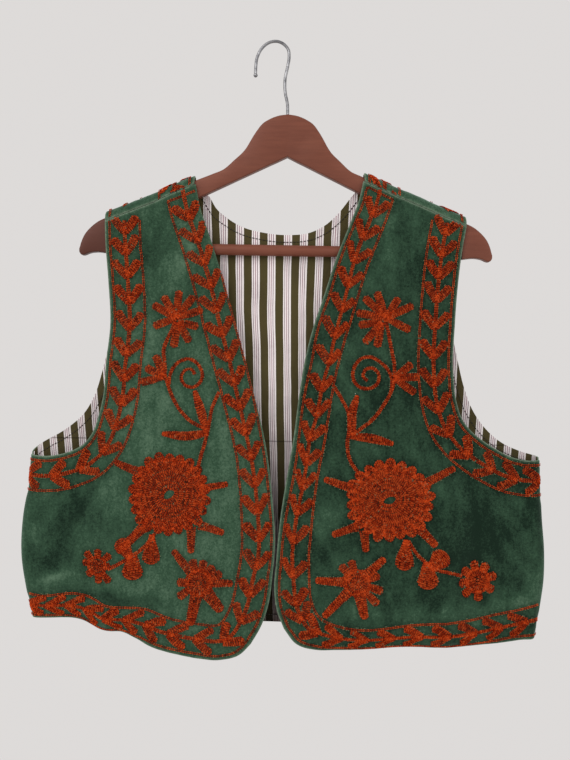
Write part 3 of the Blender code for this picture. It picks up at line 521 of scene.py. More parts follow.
@dataclass(frozen=True)
class BackFace(Face):
    """The back's hang: round both sides, and over the shoulders to the seam in front."""

    right: FrontFace
    left: FrontFace
    folds: tuple[Fold | Crease, ...]
    nap: tuple[NapAndShadePatch, ...]

    @property
    def facing(self) -> float:
        """The back's outer side looks the other way from the fronts'."""
        return -1.0

    def place(self, flat: Array) -> Array:
        """The outer face, each half by the measures of the front on its side."""
        place = np.zeros((len(flat), 3))
        for front in (self.right, self.left):
            here = flat[:, 0] * front.hand.value >= 0.0
            place[here] = self.half(front, flat[here])
        return place

    def half(self, front: FrontFace, flat: Array) -> Array:
        """One half: a flat fall, a half circle over the shoulder, a short fall in front."""
        sideways, height = np.abs(flat[:, 0]), flat[:, 1]
        start = front.roll_start(sideways)
        turn = np.clip((height - start) / ROLL_RADIUS, 0.0, math.pi)
        beyond = np.maximum(height - start - math.pi * ROLL_RADIUS, 0.0)
        fall = np.minimum(height, start)
        outward, back = front.round_side(sideways, fall, read(DEPTHS, 0, 2, fall))
        back = back + relief_of(self.folds, flat[:, 0], fall) * front.fold_fade(sideways, fall)
        back = np.where(turn > 0.0, ROLL_RADIUS * np.cos(turn), back)
        rise = fall + ROLL_RADIUS * np.sin(turn) - beyond
        return np.stack([front.hand.value * outward, back, rise], axis=-1)

    def over_shoulder(self, front: FrontFace, across: float, step: float) -> Array:
        """Points over the shoulder and down to the seam, at one distance across."""
        start = float(front.roll_start(across))
        stop = start + math.pi * ROLL_RADIUS + SEAM_BELOW_ROLL
        heights = np.linspace(start, stop, round((stop - start) / step))
        return np.stack([np.full(len(heights), across), heights], axis=1)

    def lines(self, step: float) -> Lines:
        """The back's edges on the flat cloth, the halves' own ones with the hand's name."""
        made: Lines = {}
        for front, bottom in ((self.right, BACK_HEM[0]), (self.left, BACK_HEM[-1])):
            mirror = np.array([front.hand.value, 1.0])
            under = front.side[-1][0] + BACK_UNDERARM_LIFT
            heights = np.linspace(bottom[1], under, round((under - bottom[1]) / step))
            side = np.stack([front.side_end(heights), heights], axis=1)
            shoulder = self.over_shoulder(front, front.armhole[-1][0], step)
            arm = smooth_line([tuple(side[-1]), *front.back_armhole[:-1], tuple(shoulder[0])], step)
            neck = self.over_shoulder(front, front.edge[0][0] + BACK_NECK_INSET, step)
            across = np.linspace(shoulder[-1, 0], neck[-1, 0], round((shoulder[-1, 0] - neck[-1, 0]) / step))
            top = front.roll_start(across) + math.pi * ROLL_RADIUS + SEAM_BELOW_ROLL
            name = front.hand.name.lower()
            made[f"side_{name}"] = side * mirror
            made[f"armhole_{name}"] = np.concatenate([arm, shoulder[1:]]) * mirror
            made[f"seam_{name}"] = np.stack([across, top], axis=1) * mirror
            made[f"neck_{name}"] = neck * mirror
        right, left = made.pop("neck_right"), made.pop("neck_left")
        dip = smooth_line([tuple(right[0]), *BACK_NECK[1:-1], tuple(left[0])], step)
        made["neck"] = np.concatenate([right[:0:-1], dip, left[1:]])
        ends = made["side_right"][0], made["side_left"][0]
        made["hem"] = smooth_line([tuple(ends[0]), *BACK_HEM[1:-1], tuple(ends[1])], step)
        return made

    def outline(self, step: float) -> Array:
        """The back's closed outline on the flat cloth."""
        lines = self.lines(step)
        onward = [lines[name] for name in ("hem", "side_left", "armhole_left", "seam_left")]
        back = [lines[name][::-1] for name in ("neck", "seam_right", "armhole_right", "side_right")]
        return closed(onward + back, step)


def closed(lines: Sequence[Array], step: float) -> Array:
    """Lines end to end as one closed outline, without points that nearly repeat."""
    points = np.concatenate(lines)
    gap = lengths(points - np.roll(points, 1, axis=0))
    return points[gap > step * 0.3]


# ---- meshes ----
def new_object(name: str, data: bpy.types.ID) -> Piece:
    """A new object in the scene."""
    made = bpy.data.objects.new(name, data)
    bpy.context.scene.collection.objects.link(made)
    return made


def mesh_piece(name: str, points: Array, triangles: Faces, slot: str, material: Material) -> Piece:
    """A smooth-shaded piece that rides on the body.

    Args:
        name: the piece's name.
        points: its corners in mm about the hanger's middle.
        triangles: the corners' numbers, three for each face.
        slot: the record's material slot, not used.
        material: its finish.

    Returns:
        The piece, in the row's frame.
    """
    mesh = bpy.data.meshes.new(name)
    mesh.vertices.add(len(points))
    moved = (points + np.array([HANGER_MIDDLE_X, 0.0, 0.0])) * MM
    mesh.vertices.foreach_set("co", moved.astype(np.float32).ravel())
    mesh.loops.add(triangles.size)
    mesh.loops.foreach_set("vertex_index", triangles.astype(np.int32).ravel())
    mesh.polygons.add(len(triangles))
    mesh.polygons.foreach_set("loop_start", np.arange(0, triangles.size, 3, dtype=np.int32))
    mesh.update(calc_edges=True)
    mesh.validate()
    mesh.shade_smooth()
    mesh.materials.append(material)
    piece = new_object(name, mesh)
    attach(piece, "root")
    log.info("%s: %d triangles", name, len(triangles))
    return piece


def point_values(piece: Piece, name: str, values: Array) -> None:
    """Keeps one number for each corner of a piece as an attribute."""
    attribute = piece.data.attributes.new(name, "FLOAT", "POINT")
    attribute.data.foreach_set("value", values.astype(np.float32))


def flat_map(piece: Piece, flat: Array) -> None:
    """A UV map that is the flat cloth itself, in metres, the hanger's middle at 0.5."""
    layer = piece.data.uv_layers.new(name="flat")
    corners = np.empty(len(piece.data.loops), np.int32)
    piece.data.loops.foreach_get("vertex_index", corners)
    uv = flat[corners] * MM + np.array([0.5, 1.0])
    layer.data.foreach_set("uv", uv.astype(np.float32).ravel())


def quads(low: Faces, high: Faces) -> Faces:
    """Triangles between two rings of corner numbers, whose last joins the first."""
    low_next, high_next = np.roll(low, -1), np.roll(high, -1)
    one = np.stack([low, low_next, high_next], axis=1)
    two = np.stack([low, high_next, high], axis=1)
    return np.concatenate([one, two])


def tube(rings: Array) -> Form:
    """The corners and triangles of a closed body through rings of points, with flat ends."""
    count, size = rings.shape[:2]
    numbers = np.arange(count * size).reshape(count, size)
    sides = [quads(numbers[k], numbers[k + 1]) for k in range(count - 1)]
    points = np.concatenate([rings.reshape(-1, 3), rings[0].mean(axis=0)[None], rings[-1].mean(axis=0)[None]])
    first, last = count * size, count * size + 1
    start, end = numbers[0], numbers[-1]
    front = np.stack([np.full(size, first), np.roll(start, -1), start], axis=1)
    back = np.stack([np.full(size, last), end, np.roll(end, -1)], axis=1)
    return points, np.concatenate([*sides, front, back])


def wire_rings(route: Array, radius: Values, sides: int) -> Array:
    """Circles square to a route that stays in the hanger's plane.

    Args:
        route: the wire's middle line in space.
        radius: its radius, for each point or for all.
        sides: how many corners a section has.

    Returns:
        The sections' points.
    """
    forward = headings(route)
    aside = np.cross(forward, (0.0, 1.0, 0.0))
    aside /= lengths(aside)[:, None]
    upward = np.cross(aside, forward)
    turn = np.linspace(0.0, math.tau, sides, endpoint=False)[None, :, None]
    reach = np.broadcast_to(radius, len(route))[:, None, None]
    return route[:, None, :] + (aside[:, None, :] * np.cos(turn) - upward[:, None, :] * np.sin(turn)) * reach


def triangulated(outline: Array, extra: Array) -> Form:
    """Triangles, turned anticlockwise, that cover an outline and the extra points in it."""
    corners = np.concatenate([outline, extra])
    points = [Vector(point) for point in corners.tolist()]
    made = delaunay_2d_cdt(points, [], [list(range(len(outline)))], 1, 1e-4)
    flat = np.array([(p.x, p.y) for p in made[0]])
    faces = np.array([face for face in made[2] if len(face) == 3])
    used, faces = np.unique(faces, return_inverse=True)
    flat, faces = flat[used], faces.reshape(-1, 3)
    a, b, c = (flat[faces[:, corner]] for corner in range(3))
    area = (b[:, 0] - a[:, 0]) * (c[:, 1] - a[:, 1]) - (b[:, 1] - a[:, 1]) * (c[:, 0] - a[:, 0])
    return flat, np.where((area > 0.0)[:, None], faces, faces[:, ::-1])


@dataclass
class Shell:
    """A thin closed wall of cloth on a draped face, its rim rounded like a turned edge.

    Its half thickness rises from 0 at the cut's outline along a quarter circle to its full measure.
    """

    face: FrontFace | BackFace
    outline: Array
    top: float
    thickness: float
    grid_step: float
    rim: float = 1.0
    rows: tuple[float, ...] = (0.12, 0.4, 0.9, 1.8, 3.2, 5.2, 7.6)
    flat: Array = field(init=False)
    triangles: Faces = field(init=False)
    edge_distance: Array = field(init=False)

    def __post_init__(self) -> None:
        """Divides the flat cloth: rows along the rim, then a square grid."""
        around = headings(np.concatenate([self.outline[-1:], self.outline, self.outline[:1]]))[1:-1]
        inward = turned_left(around)
        fine = resampled(np.concatenate([self.outline, self.outline[:1]]), len(self.outline) * 4)
        rows = []
        for inset in self.rows:
            row = self.outline + inward * inset
            row = row[inside(self.outline, row)]
            rows.append(row[nearest(row, fine) > inset * 0.9])
        low, high = self.outline.min(axis=0), self.outline.max(axis=0)
        across, along = (np.arange(low[k] + 1.0, high[k], self.grid_step) for k in (0, 1))
        grid = np.stack(np.meshgrid(across, along), axis=-1).reshape(-1, 2)
        grid = grid[inside(self.outline, grid)]
        grid = grid[nearest(grid, self.outline) > self.rows[-1] + self.grid_step * 0.45]
        self.flat, self.triangles = triangulated(self.outline, np.concatenate([*rows, grid]))
        self.edge_distance = nearest(self.flat, fine)
        self.edge_distance[nearest(self.flat, self.outline) < 0.01] = 0.0

    def build(self, name: str, slot: str, material: Material, puff: Values = 0.0) -> Piece:
        """The closed wall as a piece, with the flat cloth as its UV map.

        Args:
            name: the piece's name.
            slot: the record's material slot.
            material: its finish.
            puff: how much further out its outer side stands.

        Returns:
            The piece.
        """
        part = np.clip(self.edge_distance / self.rim, 0.0, 1.0)
        half = self.thickness / 2 * np.sqrt(1.0 - (1.0 - part) ** 2)
        middle = self.top - self.thickness / 2
        outer = self.face.lifted(self.flat, middle + half + puff * smooth_step(self.edge_distance))
        free = self.edge_distance > 0.0
        inner = self.face.lifted(self.flat[free], middle - half[free])
        number = np.arange(len(self.flat))
        number[free] = len(self.flat) + np.arange(free.sum())
        turned = self.triangles[:, ::-1]
        front, back = (self.triangles, turned) if self.face.facing > 0 else (turned, self.triangles)
        back = number[back]
        rim_only = (~free[self.triangles]).all(axis=1)
        faces = np.concatenate([front[~rim_only], back[~rim_only]])
        piece = mesh_piece(name, np.concatenate([outer, inner]), faces, slot, material)
        flat_map(piece, np.concatenate([self.flat, self.flat[free]]))
        return piece

    def mark_pile(self, piece: Piece, away: Array, hidden: Values = 0.0) -> None:
        """Keeps how the pile lies: laid by brushing with patches of painted highlight and shade, crushed by
        stitches, and a pale rim that is partly wear and partly painted highlight.

        Args:
            piece: the built wall.
            away: each flat point's distance to the nearest stitch.
            hidden: how much of the pale rim, partly wear and partly painted highlight, doesn't show.
        """
        # Patches of pile laid by brushing, partly painted highlight and shade.
        brushed_and_shaded = sum(patch.strength(self.flat) for patch in self.face.nap)
        crushed = CRUSHED_SHADE * bell(away, CRUSHED_REACH)
        crushed = crushed + FULL_SHADE * bell(self.edge_distance - FULL_INSET, FULL_REACH)
        rim = bell(self.edge_distance, RIM_WEAR_AND_HIGHLIGHT_REACH) * (1.0 - hidden)
        for name, values in (("nap", brushed_and_shaded + crushed), ("rim", rim)):
            point_values(piece, name, np.concatenate([values, values[self.edge_distance > 0.0]]))


# ---- chain stitch ----
class Fill(Enum):
    """A filled shape's outline: shares of its length and width, from root to tip."""

    FINGER = ((0, 0.62), (0.3, 0.86), (0.6, 1), (1, 0.96))
    ARM = ((0, 0.80), (0.3, 1), (1, 1))
    LEAF = ((0, 0.55), (0.35, 1), (0.7, 0.92), (1, 0.34))
    SPIKE = ((0, 1.35), (0.35, 1), (0.7, 0.9), (1, 0.68))
    BELL = ((0, 0.30), (0.3, 0.52), (0.6, 0.80), (0.85, 0.99), (1, 1))
    DROP = ((0, 0.22), (0.3, 0.50), (0.6, 0.90), (0.8, 1), (1, 0.86))


# A strand of one link: along in links, aside in link widths, height and half thickness in mm.
STRAND: Table = (
    (-0.18, 0.05, 0.10, 0), (0.22, 0.25, 0.62, 0.44), (0.78, 0.27, 0.84, 0.46), (1.26, 0.02, 0.50, 0),
)
# Painted shade and highlight on a strand: darker at its tips and lighter at its crown; on its rings, lighter
# on top and darker below.
STRAND_SHADES = (-1.05, -0.14, 0.40, -0.62)
TOP_HIGHLIGHT, LOW_SHADE = 0.12, -0.14
RING = 3
ROW_OVERLAP = 1.05
LEAF_RISE, SPIKE_RISE, PETAL_RISE = 0.12, 0.15, 0.10
# How unevenly a hand works: shares of a link, mm and tones.
PITCH_SPREAD = (0.84, 1.18)
ROW_SHIFT = 0.45
WANDER, RISE_SPREAD = 0.16, 0.22
LINK_TONES, ROW_TONES = 0.28, 0.05
PETAL_SPREAD, RING_WAVE = 0.16, 0.2
# How round petals are, and a bare middle's least half width.
PETAL_ROUNDNESS, LEAST_HOLE = 0.97, 0.6
# Wisps of pile: their reach in mm, length in links, and tones.
FLECK_REACH = (0.3, 0.7)
FLECK_LENGTH = (0.35, 0.7)
FLECK_TONES = (1.3, 1.9)
FLECK_WIDTH, FLECK_SINK, FLECK_ROOM = 0.25, 0.4, 1.1


def edge_of(row: int, rows: int) -> float:
    """Where a shape's row borders bare velvet: 1 left, -1 right, 2 both sides, 0 neither."""
    if rows == 1:
        return 2.0
    return {0: -1.0, rows - 1: 1.0}.get(row, 0.0)


@dataclass
class Stitching:
    """Chain stitches on one draped face, gathered row by row and made one mesh.

    A gathered link is a start and a step on the flat cloth, a width, a tone, a rise, and the side on which
    it borders bare velvet.
    """

    face: Face
    outline: Array
    chance: np.random.Generator
    pitch: float = 2.4
    width: float = 2.0
    lift: float = 0.15
    tone: float = 0.0
    links: list[Array] = field(default_factory=list)

    def add(self, start: Array, step: Array, *others: Values) -> None:
        """Gathers links: starts, steps, widths, tones, rises and open sides."""
        columns = (np.broadcast_to(other, len(start)) for other in others)
        self.links.append(np.column_stack([start, step, *columns]))

    def gathered(self) -> tuple[Array, ...]:
        """All the links: starts, steps, widths, tones, rises and open sides."""
        links = np.concatenate(self.links)
        return links[:, :2], links[:, 2:4], *links[:, 4:].T

    def row(
        self, line: Array, width: float | None = None, tone: float = 0.0, rise: float = 0.0,
        open_side: float = 0.0,
    ) -> None:
        """One row of links along a line on the flat cloth, the last link ending at its end.

        A random shift along keeps its links from lining up with its neighbours'.

        Args:
            line: where the row runs.
            width: how wide its links are.
            tone: how much lighter its thread is.
            rise: how far it lies above the others.
            open_side: where bare velvet lies beside it, told as `edge_of` does.
        """
        length = arc_lengths(line)[-1]
        count = max(1, round(length / (self.pitch * self.chance.uniform(*PITCH_SPREAD))))
        points = resampled(line, count + 1)
        points[1:-1] += np.diff(points[1:], axis=0) * self.chance.uniform(-ROW_SHIFT, ROW_SHIFT)
        points[1:-1] += self.chance.normal(0.0, WANDER, (count - 1, 2))
        shade = self.chance.normal(0.0, LINK_TONES, count) + self.chance.normal(0.0, ROW_TONES)
        lifted = rise + self.chance.uniform(0.0, RISE_SPREAD, count)
        step = np.diff(points, axis=0)
        self.add(points[:-1], step, width or self.width, self.tone + tone + shade, lifted, open_side)

    def strand(self, line: Array, rows: int, width: float, tone: float = 0.0, rise: float = 0.0) -> None:
        """A stem of rows side by side along a line, `width` across altogether."""
        sideways = turned_left(headings(line))
        for k in range(rows):
            offset = ((k + 0.5) / rows - 0.5) * width
            self.row(line + sideways * offset, width / rows * ROW_OVERLAP, tone, rise, edge_of(k, rows))

    def fill(self, spine: Array, width: float, shape: Fill, rise: float = 0.0, tone: float = 0.0) -> None:
        """A shape filled with rows from its root to its tip, the outer ones shorter on a half circle.

        Args:
            spine: the shape's middle line, from its root to its tip.
            width: its greatest width.
            shape: how the width changes along it.
            rise: how far it lies above other stitches.
            tone: how much lighter its thread is.
        """
        line = resampled(smooth_line(spine, 1.5), 16)
        sideways = turned_left(headings(line))
        at = np.linspace(0.0, 1.0, len(line))
        profile = np.asarray(shape.value, float)
        spread = eased(at, profile[:, 0], profile[:, 1])
        length = arc_lengths(line)[-1]
        rows = max(1, round(width / self.width))
        radius = width / 2
        for k in range(rows):
            offset = ((k + 0.5) / rows - 0.5) * width
            short = (radius - math.sqrt(radius**2 - offset**2)) * float(spread[-1]) / length
            path = points_at(line + sideways * (offset * spread)[:, None], at, at * (1.0 - short))
            self.row(path, width / rows * ROW_OVERLAP, tone, rise, edge_of(k, rows))

    def shapes(self, rows: Table, shape: Fill, rise: float = 0.0) -> None:
        """Straight filled shapes from rows of a root, a tip and a width."""
        for row in rows:
            self.fill(np.reshape(row[:4], (2, 2)), row[4], shape, rise)

    def petals(
        self, centre: Sequence[float], tips: Table, start: float, width: float = 0.0,
        shape: Fill = Fill.FINGER, rise: float = PETAL_RISE,
    ) -> None:
        """Petals from some share of the way out from a flower's middle to their tips.

        Args:
            centre: the flower's middle.
            tips: each petal's tip, and its own width if it has one.
            start: the share of the way out where petals start.
            width: how wide the other petals are.
            shape: how the width changes along them.
            rise: how far they lie above other stitches.
        """
        middle = np.array(centre, float)
        for x, y, *own in tips:
            root = middle + ((x, y) - middle) * start
            self.fill(np.array([root, (x, y)]), own[0] if own else width, shape, rise)

    def rings(
        self, centre: Sequence[float], radius: float, petals: int, notch: float,
        hole: Triple = (0.0, 0.0, 0.0), stretch: float = 1.0,
    ) -> None:
        """A round flower filled with rings, whose notches between petals die away inwards.

        Each petal's rim is a half ellipse, and its reach varies a little.

        Args:
            centre: the flower's middle.
            radius: its radius up the cloth.
            petals: how many petals its rim has.
            notch: how deep the cuts between petals are.
            hole: the bare middle's half length, half width and turn in degrees.
            stretch: how much wider it is across the cloth.
        """
        turn = np.linspace(0.0, math.tau, 361)
        share = turn * petals / math.tau
        phase = share % 1.0 - 0.5
        uneven = self.chance.uniform(-1.0, 1.0, petals)[np.minimum(share.astype(int), petals - 1)]
        uneven = uneven * (1.0 - (2.0 * phase) ** 4) * notch * PETAL_SPREAD
        lobe = 1.0 - np.sqrt(1.0 - (2.0 * phase) ** 2 * PETAL_ROUNDNESS)
        aside = turn - math.radians(hole[2])
        long, wide = max(hole[0], LEAST_HOLE), max(hole[1], LEAST_HOLE)
        inner = long * wide / np.hypot(wide * np.cos(aside), long * np.sin(aside))
        count = max(1, round((radius - (long + wide) / 2) / self.width))
        for k in range(count):
            part = (k + 0.5) / count
            reach = inner + (radius + uneven * part**3 - notch * lobe * part**2.2 - inner) * part
            wave = self.chance.uniform(0.0, math.tau)
            reach = reach + RING_WAVE * np.sin(3 * turn + wave)
            ring = np.stack([np.cos(turn) * stretch, np.sin(turn)], axis=1) * reach[:, None]
            self.row(np.asarray(centre, float) + ring)

    def moved(self, to: Callable[[Array], Array]) -> None:
        """Moves every link's two ends on the flat cloth by one rule."""
        start, step, *others = self.gathered()
        begin = to(start)
        self.links = []
        self.add(begin, to(start + step) - begin, *others)

    def flecks(self, share: float = 0.55) -> None:
        """Pale wisps of pile beside some of the links that border bare velvet."""
        start, step, width, _, _, open_side = self.gathered()
        middles = start + step * 0.5
        chosen = (open_side != 0.0) & (self.chance.random(len(start)) < share)
        start, step, width, open_side = start[chosen], step[chosen], width[chosen], open_side[chosen]
        count = len(start)
        aside = turned_left(step / np.maximum(lengths(step), TINY)[:, None])
        hand = np.where(np.abs(open_side) > 1.0, self.chance.choice([-1.0, 1.0], count), open_side)
        reach = hand * (width * 0.5 + self.chance.uniform(*FLECK_REACH, count))
        start = start + aside * reach[:, None] + step * self.chance.uniform(0.0, 0.7, count)[:, None]
        bare = nearest(start, middles) > FLECK_ROOM
        count = int(bare.sum())
        step = step[bare] * self.chance.uniform(*FLECK_LENGTH, count)[:, None]
        tone = self.chance.uniform(*FLECK_TONES, count)
        self.add(start[bare], step, FLECK_WIDTH, tone, -FLECK_SINK, 0.0)

    def placed(self) -> list[Array]:
        """The links that lie on the panel: starts, steps, widths, tones and rises."""
        *parts, _ = self.gathered()
        on = inside(self.outline, parts[0]) & inside(self.outline, parts[0] + parts[1])
        return [part[on] for part in parts]

    def build(self, name: str, slot: str, material: Material) -> Piece:
        """All the links as one piece, with each corner's tone, painted shade and highlight included.

        A link is two strands that part and meet again, and a strand is a spindle: a tip, two rings of three
        corners and a tip, from the strand's table.
        """
        start, step, width, tone, rise = self.placed()
        length = lengths(step)[:, None]
        aside = turned_left(step / np.maximum(length, TINY))
        (along, beside, height, half, angle), tones, faces = self.strand_form()
        flat, lifts = [], []
        for side in (-1.0, 1.0):
            off = side * beside * width[:, None] + half * np.cos(angle)
            flat.append(start[:, None] + step[:, None] * along[:, None] + aside[:, None] * off[:, :, None])
            lifts.append(self.lift + rise[:, None] + (height + half * np.sin(angle)))
        flat = np.stack(flat, axis=1).reshape(-1, 2)
        points = self.face.lifted(flat, np.stack(lifts, axis=1).reshape(-1))
        numbered = (faces + np.arange(0, len(flat), len(along))[:, None, None]).reshape(-1, 3)
        if self.face.facing < 0:
            numbered = numbered[:, ::-1]
        piece = mesh_piece(name, points, numbered, slot, material)
        point_values(piece, "tone", (np.repeat(tone, 2)[:, None] + tones).reshape(-1))
        return piece

    @staticmethod
    def strand_form() -> tuple[Array, Array, Faces]:
        """One strand's corners, their painted shade and highlight, and its triangles, from the strand's
        table.
        """
        stations, tones = [], []
        for (along, beside, height, half), tone in zip(STRAND, STRAND_SHADES):
            for angle in (90.0, 210.0, 330.0) if half else (90.0,):
                stations.append((along, beside, height, half, math.radians(angle)))
                tones.append(tone + (TOP_HIGHLIGHT if angle == 90.0 and half > 0.0 else LOW_SHADE))
        faces = []
        for k in range(RING):
            low, low_next = 1 + k, 1 + (k + 1) % RING
            high, high_next = low + RING, low_next + RING
            faces += [(0, low_next, low), (low, low_next, high_next), (low, high_next, high)]
            faces.append((high, high_next, 1 + 2 * RING))
        return np.array(stations).T, np.array(tones), np.array(faces)


@dataclass(frozen=True)
class Pairs:
    """Where a border's pairs of leaves meet on its stem: the first, and the pitch."""

    start: float
    pitch: Table = ((0, 26.3), (1000, 26.3))
    overrun: float = 8.0

    def places(self, length: float) -> list[float]:
        """The distances along a stem of a length at which pairs meet."""
        found = [self.start]
        while found[-1] < length + self.overrun:
            found.append(found[-1] + float(read(self.pitch, 0, 1, found[-1])))
        return found[:-1]


@dataclass(frozen=True)
class Band:
    """The border: two rails, and pairs of leaves on a double stem between them."""

    outer_rail: float = OUTER_RAIL
    stem: float = OUTER_RAIL + RAIL_TO_STEM
    inner_rail: float = OUTER_RAIL + 2 * RAIL_TO_STEM
    stem_width: float = 4.2
    leaf_width: float = 8.8
    rail_width: float = 3.0
    soften: float = 13.0
    leaf_spine: Table = ((0.3, 4.2), (4.6, -1.8), (9.4, -7.6), (13.2, -14.3))
    leaf_foot: float = 9.0
    spread: Spot = (0.92, 1.06)
    drop: Spot = (0.90, 1.10)
    fullness: Spot = (0.92, 1.08)

    def lay(self, on: Stitching, path: Array, side: float, pairs: Pairs, closing: float = 0.0) -> None:
        """Stitches the border along a path.

        Args:
            on: the stitches that it joins.
            path: the cloth's edge, as the leaves point.
            side: 1 where the cloth lies to the path's left, or -1.
            pairs: where its pairs of leaves meet.
            closing: how far below a shoulder seam a row closes its start, or 0.
        """
        outer = inset_line(path, self.outer_rail * side)
        rails = [outer, inset_line(path, self.inner_rail * side, self.soften)]
        if closing:
            onward = headings(path[:6])[0]
            slope = np.array([1.0, -SHOULDER_SLOPE]) / math.hypot(1.0, SHOULDER_SLOPE)
            inward = turned_left(onward) * side
            reach = float(slope @ inward)
            corners = [
                path[0] + slope * (rail / reach) + np.array([0.0, -closing])
                for rail in (self.outer_rail, self.inner_rail)
            ]
            on.row(np.array(corners), self.rail_width, open_side=2.0)
            rails = [
                np.concatenate([corner[None], rail[(rail - corner) @ onward > 2.0]])
                for corner, rail in zip(corners, rails)
            ]
        for rail in rails:
            on.row(rail, self.rail_width, open_side=2.0)
        stem = inset_line(path, self.stem * side, self.soften / 2)
        on.strand(stem, 2, self.stem_width)
        knots = arc_lengths(stem)
        for at in pairs.places(knots[-1]):
            here, before = points_at(stem, knots, at), points_at(stem, knots, at - self.leaf_foot)
            onward = (here - before) / max(np.linalg.norm(here - before), TINY)
            left = turned_left(onward)
            spread, drop = on.chance.uniform(*self.spread, 2), on.chance.uniform(*self.drop, 2)
            for k, hand in enumerate((-1.0, 1.0)):
                spine = [
                    here + left * (hand * beside * spread[k]) + onward * (ahead * drop[k])
                    for beside, ahead in self.leaf_spine
                ]
                width = self.leaf_width * on.chance.uniform(*self.fullness)
                on.fill(np.array(spine), width, Fill.ARM, LEAF_RISE, on.chance.normal(0.0, ROW_TONES))


@dataclass(frozen=True)
class Motifs:
    """One front's flowers on the flat cloth: across and height, in mm.

    Rows of `spikes` and `bells`, and `drop`, are a root, a tip and a width. Petals and fingers are tips.
    """

    edge_pairs: Pairs
    armhole_pairs: Pairs
    rosette: Spot
    rosette_radius: float
    rosette_stretch: float
    hole: Triple
    spikes: Table
    star: Spot
    star_petals: Table
    star_spikes: Table
    side_flower: Spot
    side_petals: Table
    side_body: Spot
    bells: Table
    drop: tuple[float, float, float, float, float]
    side_stems: tuple[Table, ...]
    blossom: Spot
    fingers: Table
    calyx: Spot
    calyx_fingers: Table
    bud: Spot
    bud_fingers: Table
    stems: tuple[Table, ...]
    spiral: Table
    leaves: tuple[Table, ...]
    tone: float


# ---- shader nodes ----
class Shade:
    """A node's output, with arithmetic that adds Math nodes."""

    def __init__(self, nodes: "Nodes", socket: Socket) -> None:
        """Wraps one output socket of a material."""
        self.nodes = nodes
        self.socket = socket

    def math(self, operation: str, *others: "Shade | float") -> "Shade":
        """This number and others put through a Math node."""
        return self.nodes.shade("Math", {"operation": operation}, dict(enumerate((self, *others))))

    def __add__(self, other: "Shade | float") -> "Shade":
        """This plus another."""
        return self.math("ADD", other)

    def __sub__(self, other: "Shade | float") -> "Shade":
        """This less another."""
        return self.math("SUBTRACT", other)

    def __rsub__(self, other: float) -> "Shade":
        """A number less this."""
        return (self * -1.0).math("ADD", other)

    def __mul__(self, other: "Shade | float") -> "Shade":
        """This times another."""
        return self.math("MULTIPLY", other)

    def __truediv__(self, other: "Shade | float") -> "Shade":
        """This over another."""
        return self.math("DIVIDE", other)

    def __rtruediv__(self, other: float) -> "Shade":
        """A number over this."""
        return self.math("POWER", -1.0) * other

    __radd__ = __add__
    __rmul__ = __mul__

    def above(self, edge: float, softness: float) -> "Shade":
        """0 below an edge and 1 above it, with a soft step between."""
        part = (self - edge) / softness + 0.5
        return part.math("MINIMUM", 1.0).math("MAXIMUM", 0.0)


